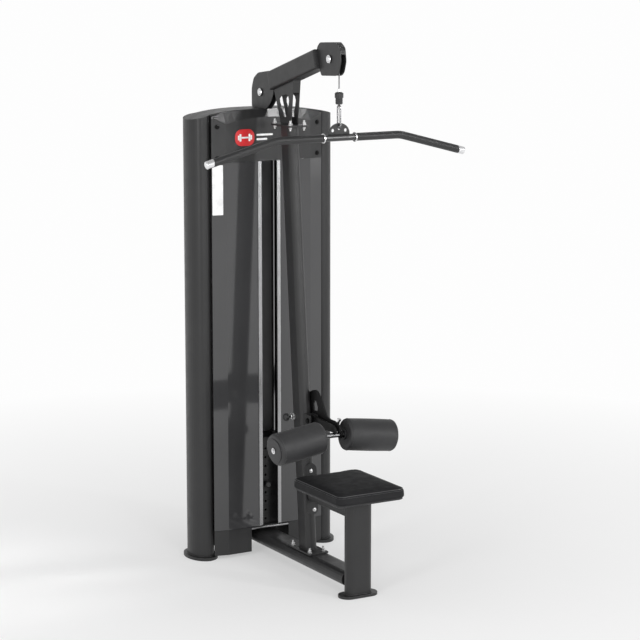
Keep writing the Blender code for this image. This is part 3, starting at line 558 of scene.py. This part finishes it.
def tile(name, centre, across, upward, outline, thickness, edge, mat, body):
    """A thin plate with rounded edges whose outline lies in the plane of two directions."""
    out = across.cross(upward).normalized()
    rings = []
    steps = ((0.0, 0.0), (thickness - edge, 0.0), (thickness - 0.3 * edge, 0.3 * edge), (thickness, edge))
    for height, inset in steps:
        ring = []
        for a, b in outline:
            shrink = max(0.0, 1.0 - inset / max(1e-6, math.hypot(a, b)))
            ring.append(centre + across * a * shrink + upward * b * shrink + out * height)
        rings.append(ring)
    return rings_piece(name, rings, mat, body)


# ---------------------------------------------------------------- tower details

def middle(node):
    """Centre of a CAD node's box."""
    low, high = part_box(node)
    return 0.5 * (low + high)


def on_flange(side, inward):
    """A point of the front panels' flange at floor height, some way in from its edge, and its facing."""
    low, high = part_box("header_panel")
    out = Vector((side * FLANGE_DEPTH, -FLANGE_WIDTH, 0.0)).normalized()
    spot = Vector((side * (high.x - inward), low.y + FLANGE_DEPTH * (1.0 - inward / FLANGE_WIDTH), 0.0))
    return spot + out * CLEAR, out


def header_details():
    """Flange bolts, a generic badge and the blank placard."""
    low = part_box("header_panel")[0]
    for word, side in SIDES:
        place, out = on_flange(side, 0.0250)
        for number, rise in enumerate((0.0205, 0.1560)):
            name = "header_bolt_" + word + "_" + str(number + 1)
            button_bolt(name, place + Vector((0, 0, low.z + rise)), out, BLACK_OXIDE, size=0.90)
    place = Vector((-0.118, low.y - CLEAR, low.z + 0.105))
    tile("badge_plate", place, ACROSS, UPWARD, rounded_box(0.047, 0.036, 0.030), 0.0024, 0.0010, BADGE_RED,
         "frame")
    front = place - Vector((0.0, 0.0026, 0.0))
    marks = [(0.0, 0.021, 0.0035), (-0.022, 0.0045, 0.016), (0.022, 0.0045, 0.016),
             (-0.031, 0.0032, 0.010), (0.031, 0.0032, 0.010)]
    for number, (x, half_a, half_b) in enumerate(marks):
        tile("badge_mark_" + str(number + 1), front + Vector((x, 0, 0)), ACROSS, UPWARD,
             rounded_box(half_a, half_b, min(half_a, half_b) * 0.6, 3), 0.0009, 0.0003, BADGE_WHITE, "frame")
    for number, half in enumerate((0.040, 0.026)):
        spot = Vector((-0.020 - 0.014 * number, low.y - CLEAR, low.z + 0.114 - 0.019 * number))
        tile("badge_stripe_" + str(number + 1), spot, ACROSS, UPWARD, rounded_box(half, 0.0042, 0.0035, 3),
             0.0012, 0.0004, BADGE_WHITE, "frame")
    place, out = on_flange(-1.0, 0.0255)
    shroud_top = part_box("shroud_left")[1].z
    tile("blank_placard", place + Vector((0, 0, shroud_top - 0.116)), UPWARD.cross(out), UPWARD,
         rounded_box(0.0238, 0.108, 0.003, 3), 0.0010, 0.0003, PLACARD, "frame")


def shroud_details():
    """Screws down the rear shroud, a pale sheet inside it that paints the light on the shroud's inside, and the
    strip below the pin slot.
    """
    low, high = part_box("rear_shroud")
    for row in range(6):
        z = low.z + 0.06 + (high.z - low.z - 0.12) * row / 5.0
        for word, side in SIDES:
            place = Vector((side * 0.205, high.y + CLEAR, z))
            button_bolt("rear_screw_" + word + "_" + str(row + 1), place, BACKWARD, ZINC, size=0.60)
    bottom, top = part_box("shroud_left")[0].z, high.z - 0.10
    # A pale sheet just inside the rear shroud: painted light on the shroud's inside, seen through the smoked front
    # panels.
    painted_light_centre = Vector((0.0, high.y - 0.0035, 0.5 * (bottom + top)))
    tile("rear_painted_light_sheet", painted_light_centre, ACROSS, UPWARD, rounded_box(0.220, 0.5 * (top - bottom), 0.004, 3),
         0.0010, 0.0003, PAINTED_LIGHT_SHEET, "frame")
    kick_low, kick_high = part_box("kick_plate_left")
    base_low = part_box("stack_base")[0]
    strip = Vector((0.0, base_low.y - CLEAR, kick_high.z - 0.0086))
    tile("sill_strip", strip, ACROSS, UPWARD, rounded_box(-kick_high.x - 0.0006, 0.0034, 0.0010, 3),
         base_low.y - kick_low.y - 0.0006, 0.0008, SATIN, "frame")


def foot_details():
    """Weld beads where the columns and the seat post meet their foot plates."""
    for word in ("left", "right"):
        centre = middle(word + "_upright")
        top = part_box(word + "_foot")[1].z + WELD_LIFT
        low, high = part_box(word + "_upright")
        half_x, half_y = 0.5 * (high.x - low.x) + WELD_OFFSET, 0.5 * (high.y - low.y) + WELD_OFFSET
        ring = [Vector((centre.x + half_x * math.cos(t), centre.y + half_y * math.sin(t), top))
                for t in (2.0 * math.pi * i / 120 for i in range(120))]
        weld_bead("weld_" + word + "_foot", ring)
    centre = middle("seat_post")
    low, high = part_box("seat_post")
    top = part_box("seat_foot")[1].z + WELD_LIFT
    oval = stadium(0.5 * (high.x - low.x) + WELD_OFFSET, 0.5 * (high.y - low.y) + WELD_OFFSET)
    weld_bead("weld_seat_foot", [Vector((centre.x + a, centre.y + b, top)) for a, b in oval])


def post_details():
    """Studs of the post's base plate and top plate, and the weld bead round the post's foot."""
    for plate, inset_x, inset_y in (("post_base_plate", 0.015, 0.0265), ("post_top_plate", 0.013, 0.020)):
        low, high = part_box(plate)
        for i, x in enumerate((low.x + inset_x, high.x - inset_x)):
            for j, y in enumerate((low.y + inset_y, high.y - inset_y)):
                name = plate + "_stud_" + str(2 * i + j + 1)
                stud_nut(name, Vector((x, y, high.z + CLEAR)), UPWARD)
                if plate == "post_top_plate":
                    stud_nut(name + "_under", Vector((x, y, low.z - CLEAR)), DOWNWARD, size=0.8)
    centre = middle("post_base_plate")
    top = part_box("post_base_plate")[1].z + WELD_LIFT
    oval = stadium(POST_HALF_LONG, POST_HALF_SHORT)
    weld_bead("weld_post_base", [Vector((centre.x + b, centre.y + a, top)) for a, b in oval])


def seat_strut_details():
    """Two bolts through the seat strut's flange into the post."""
    low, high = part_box("seat_support")
    post_low, post_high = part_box("front_post")
    lean = (post_high.y - POST_DEPTH - post_low.y) / (post_high.z - post_low.z)
    for number, (x, z) in enumerate(((0.009, low.z + 0.022), (0.0, high.z - 0.033))):
        face = post_low.y + (z - post_low.z) * lean - 0.0070
        out = Vector((0.0, -1.0, lean))
        hex_bolt("seat_flange_bolt_" + str(number + 1), Vector((x, face, z)), out, size=0.66, mat=ZINC)


# ---------------------------------------------------------------- cable arm

def arm_frame():
    """The arm's end centres and its up direction, from its box."""
    low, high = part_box("arm_tube")
    angle = math.radians(ARM_RISE)
    ahead = Vector((0.0, -math.cos(angle), math.sin(angle)))
    up = Vector((0.0, math.sin(angle), math.cos(angle)))
    rise, run = ARM_HALF * math.cos(angle), ARM_HALF * math.sin(angle)
    front = Vector((0.0, low.y + run, high.z - rise))
    rear = Vector((0.0, high.y - run, low.z + rise))
    return front, rear, ahead, up


def arm_details():
    """Black caps on the arm's two ends."""
    front, rear, ahead, up = arm_frame()
    outline = rounded_box(*ARM_CAP_HALF, 0.009, 4)
    for name, place, out in (("arm_cap_front", front, ahead), ("arm_cap_rear", rear, -ahead)):
        side = ACROSS if ACROSS.cross(up).dot(out) > 0 else -ACROSS
        tile(name, place + out * 0.0006, side, up, outline, 0.0040, 0.0012, NYLON, "frame")


def cable_rope(name, node):
    """A vertical run of the cable that stretches between the frame and a moving body."""
    low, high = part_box(node)
    y = 0.5 * (low.y + high.y)
    bottom, top, count = low.z, high.z, 60
    points = [Vector((0.0, y, bottom + (top - bottom) * i / count)) for i in range(count + 1)]
    piece = tube(name, points, ROPE_RADIUS, CABLE, None, False, 12)
    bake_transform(piece)
    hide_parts(node)


def cable_details():
    """The two runs that change length, with their sockets."""
    cable_rope("bar_rope", "bar_cable")
    cable_rope("stack_rope", "stack_cable")
    low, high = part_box("stack_cable")
    y = 0.5 * (low.y + high.y)
    collar = [(0.0002, 0.0150, True), (0.010, 0.0150, True), (0.012, 0.0130, False), (0.012, 0.0080, False),
              (0.034, 0.0070, False), (0.036, 0.0032, False)]
    turned("stack_socket", Vector((0.0, y, low.z)), UPWARD, collar, ZINC, "stack")
    stop_low, stop_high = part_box("cable_stop")
    centre = middle("cable_stop")
    band = [(0.0, 0.0147, False), (0.0012, 0.0153, False), (0.0024, 0.0153, False), (0.0036, 0.0147, False)]
    for number in range(3):
        place = Vector((centre.x, centre.y, stop_low.z + 0.006 + 0.007 * number))
        turned("stop_rib_" + str(number + 1), place, UPWARD, band, NYLON, "hook")
    swage = [(0.0, 0.0058, False), (0.012, 0.0052, False), (0.014, 0.0034, False)]
    place = Vector((centre.x, centre.y, stop_high.z - 0.0005))
    turned("stop_swage", place, UPWARD, swage, ZINC, "hook")


# ---------------------------------------------------------------- lat bar

def bar_details():
    """Chrome rings beside the sleeves and the lug's weld."""
    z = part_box("bar_hanger")[0].z - BAR_BELOW_LUG
    y = middle("lat_bar").y
    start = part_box("grip_right")[0].x
    profile = [(0.0, 0.0144, False), (0.0, 0.0190, False), (0.0010, 0.0200, False), (0.0042, 0.0200, False),
               (0.0052, 0.0190, False), (0.0052, 0.0144, False)]
    for word, side in SIDES:
        place = Vector((side * (start - 0.0056), y, z))
        turned("bar_ring_" + word, place, Vector((side, 0, 0)), profile, CHROME, "bar", 32, True)
    for word, side in (("front", -1.0), ("back", 1.0)):
        line = [Vector((-0.047 + 0.094 * i / 40, y + side * 0.0044, z + 0.0138)) for i in range(41)]
        tube("lug_weld_" + word, line, 0.0024, PAINT, "bar", False, 6, 0.20)


# ---------------------------------------------------------------- soft pieces

def joint_where(key, value):
    """The record's joint that has a value under a key, as its place and its axis."""
    joint = next(j for j in frame["joints"] if j[key] == value)
    return Vector(joint["pos_m"]), Vector(joint["axis"]).normalized()


def roller_skin():
    """(distance, radius) round a roller's section, from the bore's near end to its far end."""
    near, far, radius, shoulder = ROLLER_NEAR, ROLLER_FAR, ROLLER_START_RADIUS, ROLLER_SHOULDER
    half = [(near + 0.0035, ROLLER_BORE), (near + 0.0022, 0.5 * (ROLLER_BORE + radius - shoulder))]
    half += [(near + shoulder * (1.0 - math.cos(math.radians(11.25 * i))),
              radius - shoulder * (1.0 - math.sin(math.radians(11.25 * i)))) for i in range(9)]
    barrel = [(near + shoulder + (far - near - 2.0 * shoulder) * i / 24.0,
               radius + ROLLER_CROWN * math.sin(math.pi * i / 24.0)) for i in range(1, 24)]
    return half + barrel + [(near + far - along, reach) for along, reach in reversed(half)]


def foam_roller(word, node, body):
    """A vinyl-covered foam roller with sewn shoulders, a lengthwise seam and a capped hub."""
    origin, axis = joint_where("child", body)
    near, far = ROLLER_NEAR, ROLLER_FAR
    section = [(along, reach, False) for along, reach in roller_skin()]
    skin = turned("roller_" + word + "_pad", origin, axis, section, FOAM, body, 64, True)
    evenly_meshed(skin, SOFT_CELL)
    held = [i for i, v in enumerate(skin.data.vertices)
            if ((v.co - origin) - axis * (v.co - origin).dot(axis)).length < ROLLER_HELD_RADIUS]
    cloth_puff(skin, held, *ROLLER_SWELL)
    soften(skin, FOAM)
    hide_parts(node)
    tree = BVHTree.FromObject(skin, bpy.context.evaluated_depsgraph_get())
    spin = axis.to_track_quat("Z", "Y").to_matrix()
    for label, along in (("inner", near + 0.013), ("outer", far - 0.013)):
        line = []
        for i in range(96):
            angle = 2.0 * math.pi * i / 96
            out = spin @ Vector((math.cos(angle), math.sin(angle), 0.0))
            line.append(on_skin(tree, origin + axis * along + out * CAST_RADIUS, -out, CLEAR))
        tube("roller_" + word + "_seam_" + label, line, SEAM_RADIUS, PIPING, body, True, 6)
    down = spin @ Vector((0.0, 1.0, 0.0))
    if down.z > 0.0:
        down = -down
    line = []
    for i in range(61):
        along = near + 0.014 + (far - near - 0.028) * i / 60
        line.append(on_skin(tree, origin + axis * along + down * CAST_RADIUS, -down, CLEAR))
    tube("roller_" + word + "_seam_long", line, SEAM_RADIUS, PIPING, body, False, 6)
    cap = [(0.2330, 0.0136, False), (0.2330, 0.0480, False), (0.2380, 0.0510, False), (0.2412, 0.0510, False),
           (0.2422, 0.0500, False), (0.2424, 0.0480, False), (0.2424, 0.0136, False)]
    turned("roller_" + word + "_cap", origin, axis, cap, END_CAP, body, 48, True)
    collar = [(0.0035, 0.0136, False), (0.0035, 0.0220, False), (0.0048, 0.0235, False),
              (0.0105, 0.0235, False), (0.0150, 0.0210, False), (0.0150, 0.0136, False)]
    turned("roller_" + word + "_collar", origin, axis, collar, NYLON, body, 40, True)
    profile = [(SHAFT_END + 0.0004, 0.0130, False), (SHAFT_END + 0.0016, 0.0130, False),
               (SHAFT_END + 0.0018, 0.0070, True), (SHAFT_END + 0.0060, 0.0070, True),
               (SHAFT_END + 0.0070, 0.0062, False), (SHAFT_END + 0.0074, 0.0025, False)]
    turned("roller_" + word + "_bolt", origin, axis, profile, CHROME, "pads", 24)


def evenly_meshed(obj, cell):
    """Rebuild a closed piece from even cells, ready to swell."""
    remesh = obj.modifiers.new("even", "REMESH")
    remesh.mode = "VOXEL"
    remesh.voxel_size = cell
    graph = bpy.context.evaluated_depsgraph_get()
    obj.data = bpy.data.meshes.new_from_object(obj.evaluated_get(graph))
    obj.modifiers.clear()


def cloth_puff(obj, held, pressure, cap):
    """Swell a closed mesh under inner pressure, with some points held and the travel capped."""
    rest = [v.co.copy() for v in obj.data.vertices]
    group = obj.vertex_groups.new(name="held")
    group.add(held, 1.0, "REPLACE")
    mod = obj.modifiers.new("puff", "CLOTH")
    cloth = mod.settings
    cloth.quality = 5
    cloth.mass = 0.35
    cloth.tension_stiffness = 18.0
    cloth.compression_stiffness = 18.0
    cloth.bending_stiffness = 2.0
    cloth.use_pressure = True
    cloth.uniform_pressure_force = pressure
    cloth.vertex_group_mass = "held"
    cloth.effector_weights.gravity = 0.0
    mod.point_cache.frame_start = 1
    mod.point_cache.frame_end = SWELL_STEPS
    for number in range(1, SWELL_STEPS + 1):
        bpy.context.scene.frame_set(number)
    graph = bpy.context.evaluated_depsgraph_get()
    moved = [v.co.copy() for v in obj.evaluated_get(graph).data.vertices]
    obj.modifiers.clear()
    obj.vertex_groups.clear()
    bpy.context.scene.frame_set(1)
    for vertex, before, after in zip(obj.data.vertices, rest, moved):
        step = after - before
        vertex.co = before + (step if step.length <= cap else step.normalized() * cap)


def soften(obj, mat):
    """Relax a swollen mesh and give it one subdivision."""
    relax = obj.modifiers.new("relax", "SMOOTH")
    relax.factor = 0.5
    relax.iterations = 4
    fine = obj.modifiers.new("fine", "SUBSURF")
    fine.levels = 1
    fine.render_levels = 1
    obj.data.materials.clear()
    obj.data.materials.append(mat)
    obj.data.shade_smooth()


def on_skin(tree, outside, inward, lift):
    """Where a ray meets the skin, lifted a little."""
    hit = tree.ray_cast(outside, inward)[0]
    return (hit if hit is not None else outside + inward * 0.03) - inward * lift


def seat_cushion():
    """The padded seat: swollen vinyl over foam with a sewn welt and a base board."""
    low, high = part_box("seat_cushion")
    centre = 0.5 * (low + high)
    half_x, half_y = 0.5 * (high.x - low.x) - 0.0006, 0.5 * (high.y - low.y) - 0.0006
    rings = []
    for share, inset in SEAT_SECTION:
        outline = rounded_box(half_x - inset, half_y - inset, max(0.012, 0.033 - 0.4 * inset), 8)
        level = low.z + share * (high.z - low.z)
        rings.append([Vector((centre.x + a, centre.y + b, level)) for a, b in outline])
    seat = rings_piece("seat_pad", rings, VINYL, "frame", sharp=180.0)
    evenly_meshed(seat, SOFT_CELL)
    base = low.z + SEAT_SECTION[0][0] * (high.z - low.z) + 0.003
    cloth_puff(seat, [i for i, v in enumerate(seat.data.vertices) if v.co.z < base], *SEAT_SWELL)
    soften(seat, VINYL)
    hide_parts("seat_cushion")
    tree = BVHTree.FromObject(seat, bpy.context.evaluated_depsgraph_get())
    path = dense_outline(rounded_box(half_x + 0.02, half_y + 0.02, 0.053, 10), 0.006)
    lines = []
    for drop, lift in ((0.0050, 0.0004), (0.0105, 0.0001)):
        starts = [Vector((centre.x + a, centre.y + b, high.z - drop)) for a, b in path]
        inwards = [Vector((-a, -b, 0.0)).normalized() for a, b in path]
        lines.append([on_skin(tree, start, inward, lift) for start, inward in zip(starts, inwards)])
    tube("seat_welt", lines[0], 0.0017, PIPING, "frame", True, 8)
    tube("seat_stitch", lines[1], 0.0006, PIPING, "frame", True, 6, 0.35)
    board = [(0.0, 0.0035), (0.0016, 0.0012), (0.0080, 0.0012), (0.0094, 0.0030)]
    rings = []
    for height, inset in board:
        outline = rounded_box(half_x - inset - 0.006, half_y - inset - 0.006, 0.028, 8)
        rings.append([Vector((centre.x + a, centre.y + b, low.z + height)) for a, b in outline])
    rings_piece("seat_board", rings, NYLON, "frame")


def dense_outline(outline, pitch):
    """The same closed outline with points no further apart than a pitch."""
    dense = []
    for i, (a, b) in enumerate(outline):
        c, d = outline[(i + 1) % len(outline)]
        parts = max(1, int(math.hypot(c - a, d - b) / pitch))
        dense += [(a + (c - a) * k / parts, b + (d - b) * k / parts) for k in range(parts)]
    return dense


# ---------------------------------------------------------------- adjuster

def adjuster_details():
    """The pivot bolt, the pull pin's barrel and ribs, the shaft's collar and the stop bolt in its boss."""
    pivot = joint_where("name", "pad_tilt")[0]
    low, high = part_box("pivot_bracket")
    hex_bolt("pivot_bolt", pivot + ACROSS * (low.x - CLEAR), LEFTWARD, mat=BLACK_OXIDE)
    hex_bolt("pivot_nut", pivot + ACROSS * (high.x + CLEAR), ACROSS, size=0.55, mat=BLACK_OXIDE)
    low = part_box("pull_pin")[0]
    centre = middle("pull_pin")
    post_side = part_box("front_post")[0].x
    barrel = [(0.0003, 0.0060, False), (0.0003, 0.0140, True), (0.0070, 0.0140, True),
              (0.0085, 0.0115, False), (0.0180, 0.0115, False), (0.0195, 0.0100, False),
              (0.0195, 0.0060, False)]
    place = Vector((post_side, centre.y, centre.z))
    turned("pin_barrel", place, LEFTWARD, barrel, ZINC, "frame", 24, True)
    grip = [(0.0, 0.0168, False), (0.0012, 0.0173, False), (0.0024, 0.0173, False), (0.0036, 0.0168, False)]
    for number in range(2):
        place = Vector((low.x + 0.0075 + 0.005 * number, centre.y, centre.z))
        name = "pin_knob_rib_" + str(number + 1)
        turned(name, place, ACROSS, grip, NYLON, "pull_pin", 32)
    shaft = joint_where("child", "roller_right")[0]
    sector_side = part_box("pad_sector")[1].x
    ring = [(0.0, 0.0114, False), (0.0, 0.0165, False), (0.0012, 0.0178, False), (0.0062, 0.0178, False),
            (0.0074, 0.0165, False), (0.0074, 0.0114, False)]
    place = Vector((sector_side + 0.0004, shaft.y, shaft.z))
    turned("shaft_collar", place, ACROSS, ring, BLACK_OXIDE, "pads", 32, True)
    foot = Vector((0.0400, shaft.y + 0.024, shaft.z + 0.026))
    stem = [(0.0, 0.0066, False), (0.0120, 0.0066, False), (0.0130, 0.0052, False), (0.0300, 0.0052, False),
            (0.0302, 0.0078, True), (0.0400, 0.0078, True), (0.0412, 0.0066, False), (0.0414, 0.0025, False)]
    turned("stop_bolt", foot, Vector((0.07, -0.26, 0.96)), stem, CHROME, "pads")
    boss = [(0.0004, 0.0088, False), (0.0014, 0.0098, False),
            (0.0160, 0.0098, False), (0.0170, 0.0088, False)]
    place = Vector((sector_side, foot.y, foot.z))
    turned("stop_bolt_boss", place, ACROSS, boss, PAD_STEEL, "pads")


def stack_details():
    """Nylon bushes on the head plate and zinc collars at the guide rods' tops."""
    head_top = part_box("head_plate")[1].z
    bush = [(0.0003, 0.0132, False), (0.0003, 0.0215, False), (0.0025, 0.0235, False),
            (0.0120, 0.0235, False), (0.0140, 0.0215, False), (0.0140, 0.0132, False)]
    cup = [(0.0, 0.0130, False), (0.0, 0.0200, False), (0.0030, 0.0200, False), (0.0100, 0.0180, False),
           (0.0100, 0.0130, False)]
    for word in ("left", "right"):
        rod_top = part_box("guide_rod_" + word)[1].z
        rod = middle("guide_rod_" + word)
        place = Vector((rod.x, rod.y, head_top))
        turned("head_bush_" + word, place, UPWARD, bush, NYLON, "stack", 32, True)
        place = Vector((rod.x, rod.y, rod_top - 0.0102))
        turned("rod_top_collar_" + word, place, UPWARD, cup, ZINC, "frame", 32, True)


def pulley_details():
    """Chrome washers round the axle's ends at both pulley housings."""
    cap = [(-0.0060, 0.0121, False), (-0.0060, 0.0160, False), (-0.0048, 0.0172, False),
           (-0.0020, 0.0172, False), (-0.0008, 0.0160, False), (-0.0008, 0.0121, False)]
    for word in ("elbow", "end"):
        low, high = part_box(word + "_axle")
        centre = middle(word + "_axle")
        for number, (x, side) in enumerate(((low.x, -1.0), (high.x, 1.0))):
            name = word + "_washer_" + str(number + 1)
            place = Vector((x, centre.y, centre.z))
            turned(name, place, Vector((side, 0, 0)), cap, CHROME, "frame", 32, True)


# ---------------------------------------------------------------- stage

def studio_room():
    """A white room whose light comes more from the sides than from above."""
    world = bpy.data.worlds.new("studio")
    world.use_nodes = True
    tree = world.node_tree
    split = tree.nodes.new("ShaderNodeSeparateXYZ")
    coordinates = tree.nodes.new("ShaderNodeTexCoord")
    tree.links.new(coordinates.outputs["Generated"], split.inputs["Vector"])
    level = remap(tree, split.outputs["Z"], ROOM_SIDE, ROOM_TOP, 0.0, 0.8)
    seen = add(tree, "ShaderNodeBackground", Color=(1.0, 1.0, 1.0, 1.0), Strength=ROOM_WHITE)
    light = tree.nodes["Background"]
    light.inputs["Color"].default_value = (1.0, 1.0, 1.0, 1.0)
    tree.links.new(level, light.inputs["Strength"])
    path = tree.nodes.new("ShaderNodeLightPath")
    mix = tree.nodes.new("ShaderNodeMixShader")
    tree.links.new(path.outputs["Is Camera Ray"], mix.inputs["Fac"])
    tree.links.new(light.outputs[0], mix.inputs[1])
    tree.links.new(seen.outputs[0], mix.inputs[2])
    tree.links.new(mix.outputs[0], tree.nodes["World Output"].inputs["Surface"])
    return world


def stand_floor():
    """The pale floor, as a grid that is fine enough to fade evenly."""
    floor = bpy.data.objects.new("floor", bpy.data.meshes.new("floor"))
    bm = bmesh.new()
    steps = [-FLOOR_HALF + 2.0 * FLOOR_HALF * i / FLOOR_CELLS for i in range(FLOOR_CELLS + 1)]
    rows = [[bm.verts.new((x, y, 0.0)) for y in steps] for x in steps]
    for i in range(FLOOR_CELLS):
        for j in range(FLOOR_CELLS):
            bm.faces.new((rows[i][j], rows[i + 1][j], rows[i + 1][j + 1], rows[i][j + 1]))
    bm.to_mesh(floor.data)
    bm.free()
    floor.data.materials.append(studio_floor())
    bpy.context.scene.collection.objects.link(floor)


def studio():
    """Floor, room, soft lights and the camera."""
    stand_floor()
    scene = bpy.context.scene
    scene.world = studio_room()
    for name, place, size, power, target, spread in LIGHTS:
        lamp = bpy.data.lights.new(name, "AREA")
        lamp.shape = "RECTANGLE"
        lamp.size, lamp.size_y = size
        lamp.energy = power
        lamp.spread = math.radians(spread)
        obj = bpy.data.objects.new(name, lamp)
        obj.location = place
        obj.rotation_euler = (Vector(target) - Vector(place)).to_track_quat("-Z", "Y").to_euler()
        scene.collection.objects.link(obj)

    scene.view_settings.view_transform = "Standard"
    lens = bpy.data.cameras.new("camera")
    lens.sensor_width = SENSOR
    lens.lens = LENS
    lens.clip_end = FAR_CLIP
    camera = bpy.data.objects.new("camera", lens)
    camera.location = CAMERA_PLACE
    camera.rotation_euler = (math.radians(90.0 - CAMERA_PITCH), 0.0, math.radians(CAMERA_AZIMUTH))
    scene.collection.objects.link(camera)
    scene.camera = camera


dress_cad()
header_details()
shroud_details()
foot_details()
post_details()
seat_strut_details()
arm_details()
cable_details()
bar_details()
stack_details()
pulley_details()
adjuster_details()
seat_cushion()
foam_roller("left", "roller_left", "roller_left")
foam_roller("right", "roller_right", "roller_right")
studio()
